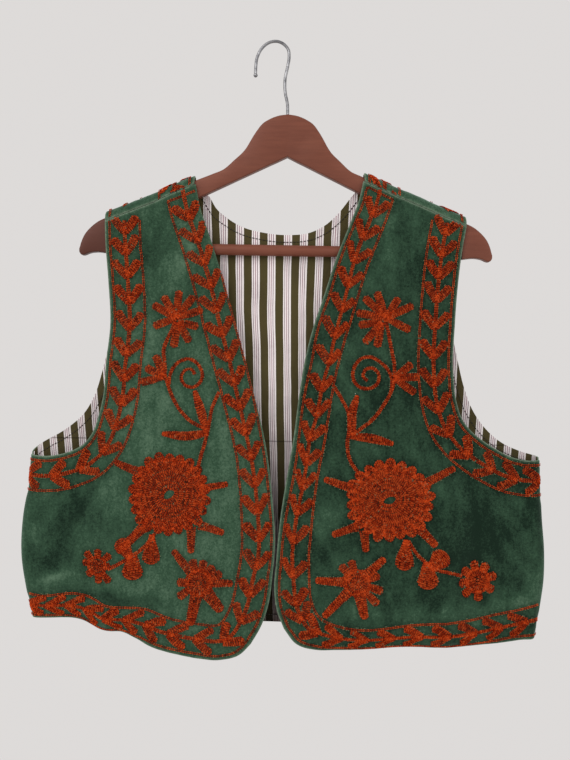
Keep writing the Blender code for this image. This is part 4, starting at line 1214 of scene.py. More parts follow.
class Nodes:
    """The node tree of one material, built node by node."""

    def __init__(self, name: str) -> None:
        """Starts a material with its Principled shader."""
        self.material = bpy.data.materials.new(name)
        self.material.use_nodes = True
        self.tree = self.material.node_tree
        self.shader = self.tree.nodes["Principled BSDF"]

    def node(self, kind: str, settings: Settings = None, inputs: Settings = None) -> bpy.types.Node:
        """Adds a node.

        Args:
            kind: its type, less "ShaderNode".
            settings: its properties, "stops" for a colour ramp's.
            inputs: its sockets' values or links.

        Returns:
            The node.
        """
        made = self.tree.nodes.new(f"ShaderNode{kind}")
        for key, value in (settings or {}).items():
            if key == "stops":
                self.set_stops(made.color_ramp, value)
            else:
                setattr(made, key, value)
        for key, value in (inputs or {}).items():
            self.feed(made.inputs[key], value)
        return made

    @staticmethod
    def set_stops(ramp: bpy.types.ColorRamp, stops: Stops) -> None:
        """Gives a colour ramp its stops, in order."""
        while len(ramp.elements) < len(stops):
            ramp.elements.new(1.0)
        for element, (position, colour) in zip(ramp.elements, stops):
            element.position = position
            element.color = (*colour, 1.0)

    def feed(self, socket: Socket, value: object) -> None:
        """Links a socket to a shade or an output, or sets its value."""
        if isinstance(value, Shade):
            self.tree.links.new(value.socket, socket)
        elif isinstance(value, Socket):
            self.tree.links.new(value, socket)
        elif isinstance(value, tuple) and len(value) == 3 and socket.type == "RGBA":
            socket.default_value = (*value, 1.0)
        else:
            socket.default_value = value

    def shade(self, kind: str, settings: Settings, inputs: Settings, output: str | int = 0) -> Shade:
        """Adds a node and wraps one of its outputs."""
        return Shade(self, self.node(kind, settings, inputs).outputs[output])

    def places(self, scale: Triple = (1.0, 1.0, 1.0)) -> Socket:
        """The Object coordinates, stretched."""
        where = self.node("TexCoord").outputs["Object"]
        return self.node("Mapping", None, {"Vector": where, "Scale": scale}).outputs["Vector"]

    def flat(self) -> tuple[Shade, Shade]:
        """The place on the flat cloth: across and along, in metres."""
        where = self.node("UVMap", {"uv_map": "flat"}).outputs["UV"]
        parts = self.node("SeparateXYZ", None, {"Vector": where})
        return Shade(self, parts.outputs["X"]) - 0.5, Shade(self, parts.outputs["Y"]) - 1.0

    def noise(self, where: Socket, scale: float, detail: float = 2.0, rough: float = 0.5) -> Shade:
        """Noise about 0, from -0.5 to 0.5."""
        inputs = {"Vector": where, "Scale": scale, "Detail": detail, "Roughness": rough}
        return self.shade("TexNoise", None, inputs) - 0.5

    def value(self, name: str) -> Shade:
        """A number kept on the piece's corners."""
        return self.shade("Attribute", {"attribute_name": name}, None, "Fac")

    def ramp(self, factor: Shade, stops: Stops) -> Shade:
        """A colour read from a ramp."""
        return self.shade("ValToRGB", {"stops": stops}, {"Fac": factor}, "Color")

    def mix(
        self, factor: Shade | float, first: Shade | Colour, second: Shade | Colour, blend: str = "MIX"
    ) -> Shade:
        """Two colours mixed: a colour mix takes sockets 0, 6 and 7 and gives socket 2."""
        settings = {"data_type": "RGBA", "blend_type": blend}
        return self.shade("Mix", settings, {0: factor, 6: first, 7: second}, 2)

    def bump(self, height: Shade, strength: float, distance: float) -> Shade:
        """A bumped normal."""
        inputs = {"Height": height, "Strength": strength, "Distance": distance}
        return self.shade("Bump", None, inputs, "Normal")

    def finish(self, **inputs: object) -> Material:
        """Sets the shader's own sockets, spaces written as underscores, and gives the material."""
        for name, value in inputs.items():
            self.feed(self.shader.inputs[name.replace("_", " ")], value)
        return self.material


# ---- finishes ----
@dataclass(frozen=True)
class VelvetFinish:
    """Cotton velvet: pile laid in patches by brushing, partly painted highlight and shade, a fine pile,
    specks of lint, and a pale rim, partly wear and partly painted highlight.
    """

    deep: Colour = (0.006, 0.018, 0.010)
    middle: Colour = (0.032, 0.074, 0.042)
    light: Colour = (0.110, 0.190, 0.122)
    lint: Colour = (0.45, 0.50, 0.42)
    # The pale rim's colour, partly wear of the pile and partly painted highlight.
    wear_and_highlight: Colour = (0.30, 0.37, 0.27)

    def material(self) -> Material:
        """The velvet's material."""
        nodes = Nodes("velvet_nap")
        plain = nodes.places()
        upright = nodes.places((1, 1, 0.35))
        patches = nodes.noise(plain, 17, 3, 0.55)
        streaks = nodes.noise(upright, 120, 4, 0.65)
        pile = nodes.noise(plain, 620, 3, 0.7)
        brushed_and_shaded = nodes.noise(nodes.places((1, 1, 0.5)), 60, 5, 0.7)
        mottle = nodes.noise(plain, 330, 3, 0.7)
        # Pile laid by brushing and crushed by stitches, with patches of painted highlight and shade.
        shade = nodes.value("nap") * 1.15 + patches * 0.36 + streaks * 0.75 + brushed_and_shaded * 0.90
        shade = shade + pile * 1.1 + mottle * 1.1
        colour = nodes.ramp(shade * 0.5 + 0.5, [(0.12, self.deep), (0.5, self.middle), (0.92, self.light)])
        specks = nodes.node("TexVoronoi", None, {"Vector": plain, "Scale": 42.0})
        chosen = nodes.shade("SeparateColor", None, {"Color": specks.outputs["Color"]})
        dot = (Shade(nodes, specks.outputs["Distance"]) * -1.0).above(-0.022, 0.012)
        dot = dot * chosen.above(0.80, 0.01)
        colour = nodes.mix(dot, colour, self.lint)
        # A pale rim along the edge: partly wear of the pile, partly painted highlight.
        colour = nodes.mix(nodes.value("rim") * (mottle * 0.9 + 0.42), colour, self.wear_and_highlight)
        normal = nodes.bump(pile + streaks * 0.6, 0.35, 0.0010)
        return nodes.finish(
            Base_Color=colour, Roughness=0.95, Normal=normal, Sheen_Weight=0.42, Sheen_Roughness=0.42,
            Sheen_Tint=(0.62, 0.88, 0.72), Specular_IOR_Level=0.10,
        )


@dataclass(frozen=True)
class LiningFinish:
    """Plain-woven cotton: olive stripes, and white ones with fine mauve and pink lines."""

    olive: Colour = (0.073, 0.058, 0.021)
    white: Colour = (0.92, 0.86, 0.85)
    mauve: Colour = (0.19, 0.10, 0.15)
    pink: Colour = (0.32, 0.14, 0.20)
    shadow: Colour = (0.10, 0.08, 0.07)
    repeat: float = 0.0174
    phase: float = 0.755

    def material(self) -> Material:
        """The lining's material: the stripes follow the flat cloth and wander a little, under painted shade
        in soft patches, towards the bottom and along a crease.
        """
        nodes = Nodes("lining_stripes")
        across, along = nodes.flat()
        plain = nodes.places()
        wander = nodes.noise(plain, 14, 2) * 0.0030
        closer = (along + 0.211) * -0.4 + 1.0
        slip = (along * -1.0 - 0.285).math("MAXIMUM", 0.0) * 0.028 + 0.0021
        part = (((across - slip) * closer + wander) / self.repeat + self.phase).math("FRACT")
        olive, white, mauve, pink = self.olive, self.white, self.mauve, self.pink
        stops = [
            (0, olive), (0.49, olive), (0.505, white), (0.572, white), (0.584, mauve), (0.616, mauve),
            (0.628, white), (0.7, white), (0.712, pink), (0.746, pink), (0.758, white), (0.828, white),
            (0.84, mauve), (0.872, mauve), (0.884, white), (0.985, white), (1, olive),
        ]
        stripes = nodes.ramp(part, stops)
        # Painted shade: cloudy patches for the shade of soft folds, and darker towards the bottom, for the
        # shadow between the fronts.
        cloudy = nodes.noise(plain, 30, 3)
        weave = nodes.noise(plain, 1500, 2)
        painted_low_shade = (along * -1.0 - 0.38).math("MAXIMUM", 0.0) * 3.4
        stripes = nodes.mix(cloudy * 0.85 + painted_low_shade + 0.04, stripes, self.shadow, "MULTIPLY")
        # Painted shade along a crease across the lining.
        painted_crease_shade = ((along + 0.432).math("ABSOLUTE") * -1.0).above(-0.0007, 0.0008)
        stripes = nodes.mix(painted_crease_shade * 0.55, stripes, self.shadow, "MULTIPLY")
        rumpled = nodes.noise(nodes.places((1, 1, 0.6)), 46, 3, 0.55)
        normal = nodes.bump(rumpled * 4.0 + weave * 0.25, 0.55, 0.0016)
        return nodes.finish(Base_Color=stripes, Roughness=0.88, Normal=normal, Specular_IOR_Level=0.2)


@dataclass(frozen=True)
class ThreadFinish:
    """Wool thread whose tone changes by stitch, with painted shade and highlight along each strand; tones
    past the light one are bare pile.
    """

    dark: Colour = (0.085, 0.004, 0.0005)
    middle: Colour = (0.41, 0.028, 0.0034)
    light: Colour = (0.76, 0.110, 0.020)
    pale: Colour = (0.15, 0.21, 0.12)

    def material(self) -> Material:
        """The thread's material."""
        nodes = Nodes("wool_thread")
        plain = nodes.places()
        fuzz = nodes.noise(plain, 1400, 2)
        patch = nodes.noise(plain, 28, 2)
        tone = nodes.value("tone") + fuzz * 0.50 + patch * 0.16
        light = self.light
        stops = [(0.06, self.dark), (0.42, self.middle), (0.72, light), (0.86, light), (0.94, self.pale)]
        colour = nodes.ramp(tone * 0.5 + 0.42, stops)
        normal = nodes.bump(fuzz, 0.5, 0.0005)
        return nodes.finish(
            Base_Color=colour, Roughness=0.9, Normal=normal, Sheen_Weight=0.06, Sheen_Roughness=0.5,
            Sheen_Tint=(1.0, 0.50, 0.30), Specular_IOR_Level=0.04,
        )


@dataclass(frozen=True)
class PlainThreadFinish:
    """Fine sewing thread of one colour."""

    name: str
    colour: Colour

    def material(self) -> Material:
        """The thread's material, a little lighter and darker along its twist."""
        nodes = Nodes(self.name)
        twist = nodes.noise(nodes.places(), 1800, 1)
        darker = tuple(part * 0.6 for part in self.colour)
        colour = nodes.mix((twist + 0.5).above(0.5, 0.4), self.colour, darker)
        return nodes.finish(Base_Color=colour, Roughness=0.8)


@dataclass(frozen=True)
class WoodFinish:
    """Wood stained reddish-brown under satin varnish, with a faint grain, and painted shade at one end and
    under the arms.
    """

    stain: Colour = (0.192, 0.057, 0.031)
    grain: Colour = (0.140, 0.038, 0.020)
    rubbed: Colour = (0.240, 0.085, 0.052)
    # The colour of the painted shade at one end and under the arms.
    painted_shade: Colour = (0.075, 0.019, 0.010)

    def material(self) -> Material:
        """The wood's material."""
        nodes = Nodes("stained_wood")
        long = nodes.places((0.12, 1, 1))
        plain = nodes.places()
        grain = nodes.noise(long, 260, 4, 0.6)
        cloudy = nodes.noise(plain, 24, 2)
        colour = nodes.mix((grain + 0.5).above(0.55, 0.5), self.stain, self.grain)
        colour = nodes.mix((cloudy + 0.5).above(0.66, 0.4) * 0.5, colour, self.rubbed)
        # Painted shade, kept on the arch's corners: darker at one end and under the arms.
        colour = nodes.mix(nodes.value("stain"), colour, self.painted_shade)
        rough = cloudy * 0.18 + grain * 0.10 + 0.46
        return nodes.finish(
            Base_Color=colour, Roughness=rough, Normal=nodes.bump(grain, 0.12, 0.0006),
            Specular_IOR_Level=0.28,
        )


@dataclass(frozen=True)
class WireFinish:
    """Plain bent steel wire, dulled by handling."""

    bright: Colour = (0.34, 0.34, 0.35)
    dull: Colour = (0.13, 0.13, 0.14)

    def material(self) -> Material:
        """The wire's material."""
        nodes = Nodes("steel_wire")
        plain = nodes.places()
        # Wear in patches: duller and rougher wire.
        wear_and_highlight = nodes.noise(plain, 180, 3)
        fine = nodes.noise(plain, 1600, 2)
        colour = nodes.mix((wear_and_highlight + 0.5).above(0.52, 0.4), self.bright, self.dull)
        normal = nodes.bump(fine, 0.15, 0.0003)
        return nodes.finish(Base_Color=colour, Metallic=1.0, Roughness=wear_and_highlight * 0.3 + 0.34, Normal=normal)


# ---- the garment's own tables ----
RIGHT = FrontFace(
    hand=Hand.RIGHT,
    edge=(
        (98, -157), (93, -180), (83, -209), (68, -254), (50, -315), (31, -382), (18, -434), (10, -488),
        (6, -541), (8, -573), (12, -605), (19, -627), (30, -647),
    ),
    hem=(
        (30, -647), (43, -660), (64, -666), (88, -664), (109, -660.5), (124, -657.5), (139, -652.5),
        (155, -644), (169, -639), (182, -639.5), (194, -638.5), (203, -634.5), (211, -630.5), (222, -627.5),
        (235, -626.5), (253, -626), (267, -625),
    ),
    side=((-640, 267), (-623, 267), (-596, 273), (-560, 279), (-516, 278), (-483, 273), (-449, 271)),
    armhole=(
        (254, -451), (232, -447), (213, -437), (204, -425), (198, -408), (193, -385), (191, -352),
        (187, -308), (190, -262), (194, -219), (195, -198),
    ),
    back_armhole=(
        (259, -436), (237, -423), (216, -404), (206, -386), (198, -360), (191, -328), (186, -300),
        (188, -262), (192, -219), (195, -198),
    ),
    curl=((0, 0), (40, 10), (110, 14), (150, 26), (185, 50), (212, 50), (235, 36), (254, 14), (268, 0)),
    border_share=(
        (100, 1), (140, 0.98), (169, 0.86), (194, 0.93), (211, 0.92), (229, 0.85), (253, 0.67), (276, 0.72),
    ),
    edge_slide=(
        (-168, 6.8, 6.8, 5.2), (-219, 6.4, 8, 6), (-245, 5.8, 7.8, 5.8), (-264, 4.8, 7.4, 5.6),
        (-299, 4.7, 5.6, 4.8), (-342, 4.7, 5.2, 4.4), (-385, 3.8, 3.8, 4.3), (-429, 1.9, 3.3, 4.8),
        (-461, 1.7, 4.2, 4.8), (-530, 1.3, 4.6, 2.5),
    ),
    folds=from_rows(Fold, (
        (150, -215, 175, -620, 48, 2.4), (95, -330, 62, -650, 42, -1.8), (212, -480, 203, -625, 34, -2),
        (250, -480, 243, -620, 34, 1.2),
    )) + from_rows(Crease, (
        (138, -205, 150, -275, 15, -0.9), (158, -215, 170, -320, 15, 0.7), (206, -478, 234, -562, 24, -1.2),
        (262, -572, 238, -582, 7, 0.9), (206, -588, 201, -622, 9, -1.4), (189, -596, 185, -640, 9, 1.2),
        (150, -618, 158, -650, 8, 0.8), (118, -628, 124, -660, 8, -0.7), (84, -632, 88, -664, 9, 0.7),
        (44, -520, 52, -600, 12, 0.6), (168, -633, 258, -618, 6, -1.8), (84, -657, 146, -645, 6, -1.5),
        (60, -250, 92, -300, 10, 0.5),
    )),
    # Patches of pile laid by brushing, partly painted highlight and shade: centre, reach, turn in degrees,
    # shade.
    nap=from_rows(NapAndShadePatch, (
        (228, -512, 52, 30, -66, -0.5), (206, -500, 44, 8, -70, -0.2), (246, -560, 26, 14, 20, -0.35),
        (243, -582, 16, 4, -14, 0.55), (142, -228, 34, 13, 98, -0.34), (112, -235, 36, 12, 108, 0.34),
        (160, -400, 60, 34, 100, 0.3), (146, -320, 44, 16, 95, 0.18), (186, -600, 60, 7, 2, -0.45),
        (90, -520, 80, 40, 92, 0.14), (60, -420, 70, 14, 74, 0.12), (160, -585, 40, 10, 10, 0.22),
    )),
)
LEFT = FrontFace(
    hand=Hand.LEFT,
    edge=(
        (82, -157), (78, -169), (68, -197), (55, -231), (43, -270), (30, -311), (22, -346), (17, -381),
        (12, -425), (4, -477), (-1, -514), (-4.5, -560), (-6, -589), (-3, -610), (5, -630),
    ),
    hem=(
        (5, -630), (18, -646), (40, -653.5), (60, -654.5), (97, -654), (125, -651.5), (150, -650.5),
        (180, -651), (205, -650), (231, -647), (250, -643), (262, -640.5), (276, -639),
    ),
    side=(
        (-660, 276), (-638, 276), (-608, 280), (-575, 284), (-544, 284), (-510, 281), (-475, 279),
        (-446, 278),
    ),
    armhole=(
        (262, -447), (245, -443), (229, -435), (213, -425), (201, -415), (192, -403), (186, -386),
        (182, -356), (183, -300), (186, -255), (190, -220), (194, -198),
    ),
    back_armhole=(
        (259, -438), (237, -428), (219, -412), (206, -393), (197, -370), (190, -343), (184, -315),
        (181, -292), (184, -250), (188, -220), (194, -198),
    ),
    curl=((0, 0), (25, 10), (60, 30), (100, 48), (150, 54), (205, 50), (235, 34), (258, 14), (272, 0)),
    border_share=(
        (36, 1), (57, 0.82), (75, 0.74), (110, 0.77), (150, 0.89), (204, 0.96), (235, 0.93), (262, 0.92),
        (278, 1),
    ),
    edge_slide=(
        (-168, 0, 2, 3), (-219, 0.6, 3.3, 3.4), (-261, 0, 0, 3), (-318, -0.6, -4.1, 1.5),
        (-343, -2.2, -5, 1.8), (-373, -0.8, -1.8, 2.8), (-402, 0, -0.5, 3.5), (-427, -0.5, 4.2, 4.2),
        (-455, -1.8, 3, 5.2), (-530, 0, 5.2, 3.4),
    ),
    folds=from_rows(Fold, (
        (140, -230, 168, -620, 50, 2.4), (84, -360, 72, -640, 40, -1.8), (228, -470, 216, -630, 36, -2.2),
        (262, -480, 250, -620, 26, 1.2),
    )) + from_rows(Crease, (
        (204, -474, 214, -556, 18, -1.1), (178, -470, 186, -556, 14, 0.7), (254, -592, 284, -580, 9, 0.9),
        (150, -600, 262, -588, 9, -0.9), (92, -212, 128, -222, 12, 0.6), (70, -630, 76, -654, 8, 0.6),
        (176, -618, 180, -650, 8, 0.7), (226, -612, 229, -644, 8, -0.7), (152, -430, 170, -466, 12, -0.6),
        (70, -648, 252, -637, 6, -2.2),
    )),
    # Patches of pile laid by brushing, partly painted highlight and shade: centre, reach, turn in degrees,
    # shade.
    nap=from_rows(NapAndShadePatch, (
        (150, -420, 280, 170, 90, -0.45), (215, -535, 85, 60, 10, -0.28), (250, -566, 20, 9, -30, 0.26),
        (204, -510, 44, 7, 96, -0.24), (222, -500, 40, 5, 92, -0.16), (132, -240, 38, 17, 96, -0.22),
        (92, -186, 26, 9, -20, 0.36), (258, -600, 26, 6, 12, 0.34), (170, -470, 40, 12, 130, 0.2),
        (64, -545, 16, 26, 96, -0.22), (112, -210, 40, 8, 104, 0.22), (130, -610, 70, 7, 2, 0.18),
    )),
)
BACK = BackFace(
    right=RIGHT,
    left=LEFT,
    folds=from_rows(Fold, (
        (-130, -260, -150, -630, 60, 1.6), (-30, -250, -45, -630, 55, -1), (70, -250, 85, -630, 60, 1.4),
        (190, -450, 200, -630, 45, -1.2),
    )) + from_rows(Crease, (
        (30, -380, 44, -470, 16, -0.9), (-20, -400, -10, -470, 14, 0.8), (52, -200, 74, -260, 9, -0.8),
        (-80, -190, -58, -250, 10, 0.7), (8, -520, 14, -610, 12, 0.7),
    )),
    # Patches of pile laid by brushing, partly painted highlight and shade: centre, reach, turn in degrees,
    # shade.
    nap=from_rows(NapAndShadePatch, (
        (-150, -420, 90, 40, 80, -0.25), (120, -320, 80, 34, 100, 0.25), (30, -560, 90, 30, 10, -0.2),
        (-60, -300, 60, 20, 95, 0.2), (200, -540, 60, 24, 80, 0.2),
    )),
)
RIGHT_MOTIFS = Motifs(
    edge_pairs=Pairs(
        30.8,
        (
            (0, 24.4), (110, 26.6), (230, 27.3), (350, 29.2), (470, 29.5), (560, 27), (590, 24),
            (660, 21.5), (740, 20.5),
        ),
    ),
    armhole_pairs=Pairs(9.3, ((0, 21.5), (50, 27), (80, 28.4), (140, 27), (200, 27), (240, 31), (340, 28))),
    rosette=(120.2, -489.4),
    rosette_radius=45.5,
    rosette_stretch=0.98,
    hole=(6.2, 3.9, -35),
    spikes=(
        (150, -467, 178.4, -455.7, 8.6), (88, -483, 57.3, -477.1, 7.4), (88, -521, 60.7, -529.5, 8.4),
        (96, -523, 95.5, -551.5, 8.6), (144, -522, 173.5, -551.7, 9.4),
    ),
    star=(86.4, -583.1),
    star_petals=(
        (94.3, -557.7), (81.4, -558.5), (70.7, -564.7), (62, -572), (109.8, -582.5), (108.5, -598.5),
    ),
    star_spikes=((114.7, -548.4, 8.6), (50.1, -582.5, 8.6), (61.4, -612.6, 12.6), (95.2, -628, 11.4)),
    side_flower=(195.5, -566.9),
    side_petals=(
        (208.5, -552.2), (194.7, -548.8), (180.8, -553.8), (211.6, -562.9), (206, -577.8), (193, -585.5),
        (181, -583.8), (180.5, -566.6),
    ),
    side_body=(11.5, 8),
    bells=((157.3, -553.5, 157, -580.5, 25.5), (159, -558, 172, -537.5, 20)),
    drop=(137.3, -532, 138, -564, 18.5),
    side_stems=(
        ((183.7, -569.9), (171, -563.3), (157.3, -554.5), (146.7, -546.8), (134.2, -531)),
        ((167.1, -546), (158.7, -535.3), (145, -522.5)),
    ),
    blossom=(116.3, -300.6),
    fingers=((141.5, -286.5), (130.4, -277), (113.4, -271), (97.3, -276.8), (87.6, -291), (140.4, -310.2)),
    calyx=(114.1, -304.8),
    calyx_fingers=((92, -309.5), (101.2, -326.5), (118.4, -332.5)),
    bud=(128.1, -364),
    bud_fingers=((153, -370.5), (148, -354), (137.5, -340.5)),
    stems=(
        ((117.4, -304), (120.5, -314), (125.5, -324), (129, -336), (127.5, -348), (127.1, -364)),
        ((127, -360.7), (123.6, -372.5), (118, -386.3), (110.2, -399.1), (97.2, -411.7), (81.5, -419.5)),
        ((90.5, -462), (86.6, -446.7), (81.2, -426.3), (78.2, -409.1), (75.9, -396.3), (68.7, -379)),
    ),
    spiral=(
        (122.8, -372), (120.6, -358.5), (111.8, -347.2), (100.8, -344.3), (91.6, -350.2), (87, -360.1),
        (89.3, -369.2), (97.8, -374.6), (106.4, -371.4), (109.6, -363.7), (105.4, -356.3), (98.6, -355.2),
        (95.2, -360.6),
    ),
    leaves=(((82, -421), (86.5, -404), (95, -378)), ((79.5, -422.6), (100, -426.6), (129, -424.6))),
    tone=-0.06,
)
LEFT_MOTIFS = Motifs(
    edge_pairs=Pairs(
        29.6,
        (
            (0, 26.2), (110, 28), (190, 29.8), (250, 26), (330, 27.2), (430, 29), (445, 20), (475, 21),
            (505, 26), (540, 28.3), (740, 27),
        ),
    ),
    armhole_pairs=Pairs(
        8.4,
        ((0, 23.6), (60, 25.5), (90, 30.5), (200, 28), (230, 31), (300, 27), (345, 26)),
    ),
    rosette=(115.9, -491.6),
    rosette_radius=44.6,
    rosette_stretch=1.09,
    hole=(6.2, 3.5, 25),
    spikes=(
        (76, -480, 45.1, -470, 8.2), (150, -474, 184.8, -455.8, 8.6), (82, -520, 54.7, -529.6, 8.4),
        (89, -524, 91.3, -547.1, 8.8), (146, -519, 165.9, -539.4, 9.2),
    ),
    star=(82.2, -580.2),
    star_petals=(
        (64, -561.4), (75.4, -555.8), (106.2, -571.2), (109.8, -588.3), (104.9, -602.8), (68.1, -571.9),
    ),
    star_spikes=((37.5, -577.7, 9.2), (111.5, -553.1, 9.4), (46.7, -616.9, 9.2), (91.3, -618.3, 11)),
    side_flower=(211.2, -575.7),
    side_petals=(
        (206, -554.6), (221.6, -557.6), (231.8, -570.2), (229, -587.3), (212.6, -598.2), (195.6, -592),
        (190.4, -578.8), (193.8, -562.8),
    ),
    side_body=(14.5, 9.6),
    bells=((156.5, -555.4, 157.4, -585, 25), (159, -564, 176.5, -546, 26)),
    drop=(133.8, -532.7, 131.6, -565.5, 20),
    side_stems=(
        ((194.1, -570.8), (178, -566.8), (163, -562.8), (154.4, -556.5), (144.6, -547.1), (136, -534)),
    ),
    blossom=(108.7, -296.7),
    fingers=(
        (137.6, -282.5), (122, -274.6), (98.2, -268.5), (84.6, -274.6), (76.8, -291.5), (135.2, -309.6),
    ),
    calyx=(104.5, -301),
    calyx_fingers=((79.3, -304.9), (85.6, -324.3), (99.6, -328.5)),
    bud=(118.4, -360.8),
    bud_fingers=((137.3, -345), (144.8, -359.2), (141.4, -377)),
    stems=(
        ((108, -298), (110.6, -309), (113.9, -325.5), (118.1, -344.9), (119, -362)),
        ((119.6, -360.6), (115.3, -375.8), (107, -391), (97.6, -404), (84.9, -414.9), (74.4, -422.5)),
        (
            (82.5, -464), (72.5, -449.3), (69.4, -433.3), (70.9, -417.2), (69.5, -398), (61.8, -383.2),
            (53, -369.5),
        ),
    ),
    spiral=(
        (115.3, -375.8), (116.2, -363), (111.7, -352.3), (103, -343.9), (92.2, -338.8), (81, -342.2),
        (74.6, -353), (74.9, -363.6), (82, -371.6), (93.2, -372.3), (101.1, -365.8), (101.7, -356.8),
        (95, -350.6), (87.1, -353), (85.2, -360.2), (90, -364),
    ),
    leaves=(((75.4, -422.5), (73.6, -402), (79.4, -380)), ((72.3, -424), (93, -425.6), (118.8, -431.4))),
    tone=0.06,
)


# ---- sub-assemblies ----
@dataclass
class FrontPanel:
    """One front: its velvet, the striped lining inside it, and all its embroidery."""

    face: FrontFace
    motifs: Motifs
    velvet: Material
    lining: Material
    thread: Material
    seed: int
    outline_step: float = 2.6
    grid_step: float = 3.5
    velvet_thickness: float = 1.45
    puff: float = 0.75
    edge_roll: float = 0.35
    lining_top: float = -1.5
    lining_thickness: float = 0.5
    lining_inset: float = 3.4
    lining_grid_step: float = 6.0
    border_closing: float = 4.4
    rosette_petals: int = 22
    rosette_notch: float = 13.0
    star_radius: float = 15.5
    star_lobes: int = 9
    star_notch: float = 2.0
    star_petal_start: float = 0.42
    star_petal_width: float = 8.8
    star_spike_start: float = 0.22
    side_lobes: int = 8
    side_notch: float = 1.0
    side_petal_start: float = 0.45
    stem_width: float = 3.8
    thin_stem_width: float = 3.6
    leaf_width: float = 9.4
    finger_width: float = 8.4
    band: Band = Band()

    @property
    def name(self) -> str:
        """The wearer's own side, as a word."""
        return self.face.hand.name.lower()

    def build(self) -> None:
        """Stitches the front, then makes the cloth under the stitches."""
        outline = self.face.outline(self.outline_step)
        self.build_velvet(outline, self.embroider(outline))
        self.build_lining(outline)

    def build_velvet(self, outline: Array, stitched: Array) -> None:
        """The velvet wall, which puffs up between stitches and beside its turned edge."""
        shell = Shell(self.face, outline, 0.0, self.velvet_thickness, self.grid_step)
        away = nearest(shell.flat, stitched)
        puff = self.puff * smooth_step((away - PUFF_START) / PUFF_REACH)
        puff = puff + self.edge_roll * bell(shell.edge_distance - EDGE_ROLL_INSET, EDGE_ROLL_REACH)
        piece = shell.build(f"velvet_front_{self.name}_cloth", "velvet", self.velvet, puff)
        # The pale rim, partly wear and partly painted highlight, fades along the front edge where its border
        # slides over.
        hidden = np.clip(read(self.face.edge_slide, 0, 1, shell.flat[:, 1]) / HIDING_SLIDE, 0.0, MOST_HIDDEN)
        shell.mark_pile(piece, away, hidden * (shell.flat[:, 0] < FRONT_EDGE_REACH))
        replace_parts(piece, f"velvet_front_{self.name}")

    def build_lining(self, outline: Array) -> None:
        """The lining inside the front, a little in from its edges."""
        inner = inset_line(np.concatenate([outline, outline[:3]]), self.lining_inset)
        inner = closed([inner], self.outline_step)
        top, thickness, grid_step = self.lining_top, self.lining_thickness, self.lining_grid_step
        shell = Shell(self.face, inner, top, thickness, grid_step, 0.3, (0.1, 0.4, 2.0))
        piece = shell.build(f"lining_front_{self.name}", "lining", self.lining)

    def embroider(self, outline: Array) -> Array:
        """All the embroidery on the front's cut, a piece for each motif, and where its links start."""
        tone = self.motifs.tone
        motifs = {
            "edge": (self.edge_border, 0.0), "armhole": (self.armhole_border, 0.0),
            "rosette": (self.rosette, tone), "star": (self.star, tone),
            "side_flower": (self.side_flower, tone), "drop": (self.drop, tone),
            "bells": (self.bells, tone), "vine": (self.vine, 0.0),
        }
        starts = []
        for number, (name, (lay, shade)) in enumerate(motifs.items(), 1):
            chance = np.random.default_rng(self.seed * 100 + number)
            on = Stitching(self.face, outline, chance, tone=shade)
            lay(on)
            on.flecks()
            piece = on.build(f"stitched_{name}_{self.name}", "thread", self.thread)
            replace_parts(piece, f"embroidery_{name}_{self.name}")
            starts.append(on.placed()[0])
        return np.concatenate(starts)

    def edge_border(self, on: Stitching) -> None:
        """The border down the front edge and along the hem to the side."""
        lines = self.face.lines(self.outline_step)
        path = np.concatenate([lines["edge"], lines["hem"][1:]])
        self.band.lay(on, path, 1.0, self.motifs.edge_pairs, self.border_closing)
        on.moved(self.face.narrowed)
        on.moved(self.face.slid)

    def armhole_border(self, on: Stitching) -> None:
        """The border down the armhole to the side."""
        path = self.face.lines(self.outline_step)["armhole"][::-1]
        self.band.lay(on, path, -1.0, self.motifs.armhole_pairs)

    def rosette(self, on: Stitching) -> None:
        """The large rosette with its spikes."""
        motifs = self.motifs
        on.rings(
            motifs.rosette, motifs.rosette_radius, self.rosette_petals, self.rosette_notch, motifs.hole,
            motifs.rosette_stretch,
        )
        on.shapes(motifs.spikes, Fill.SPIKE, SPIKE_RISE)

    def star(self, on: Stitching) -> None:
        """The lower flower with round petals and long spikes."""
        motifs = self.motifs
        on.rings(motifs.star, self.star_radius, self.star_lobes, self.star_notch)
        on.petals(motifs.star, motifs.star_petals, self.star_petal_start, self.star_petal_width)
        spikes = motifs.star_spikes
        on.petals(motifs.star, spikes, self.star_spike_start, shape=Fill.SPIKE, rise=SPIKE_RISE)

    def side_flower(self, on: Stitching) -> None:
        """The small flower near the side."""
        motifs = self.motifs
        body, width = motifs.side_body
        on.rings(motifs.side_flower, body, self.side_lobes, self.side_notch)
        on.petals(motifs.side_flower, motifs.side_petals, self.side_petal_start, width)

    def drop(self, on: Stitching) -> None:
        """The hanging drop."""
        on.shapes((self.motifs.drop,), Fill.DROP)

    def bells(self, on: Stitching) -> None:
        """The two bell flowers and the stems that carry them."""
        on.shapes(self.motifs.bells, Fill.BELL, PETAL_RISE)
        for stem in self.motifs.side_stems:
            on.strand(smooth_line(stem, 2.0), 2, self.thin_stem_width)

    def vine(self, on: Stitching) -> None:
        """The stem with its spiral, leaves, bud and blossom."""
        motifs = self.motifs
        for stem in motifs.stems:
            on.strand(smooth_line(stem, 2.0), 2, self.stem_width)
        on.strand(smooth_line(motifs.spiral, LINE_STEP), 2, self.thin_stem_width)
        for leaf in motifs.leaves:
            on.fill(np.array(leaf, float), self.leaf_width, Fill.LEAF, LEAF_RISE)
        groups = (
            (motifs.blossom, motifs.fingers), (motifs.calyx, motifs.calyx_fingers),
            (motifs.bud, motifs.bud_fingers),
        )
        for root, tips in groups:
            on.petals(root, tips, 0.0, self.finger_width, rise=SPIKE_RISE)


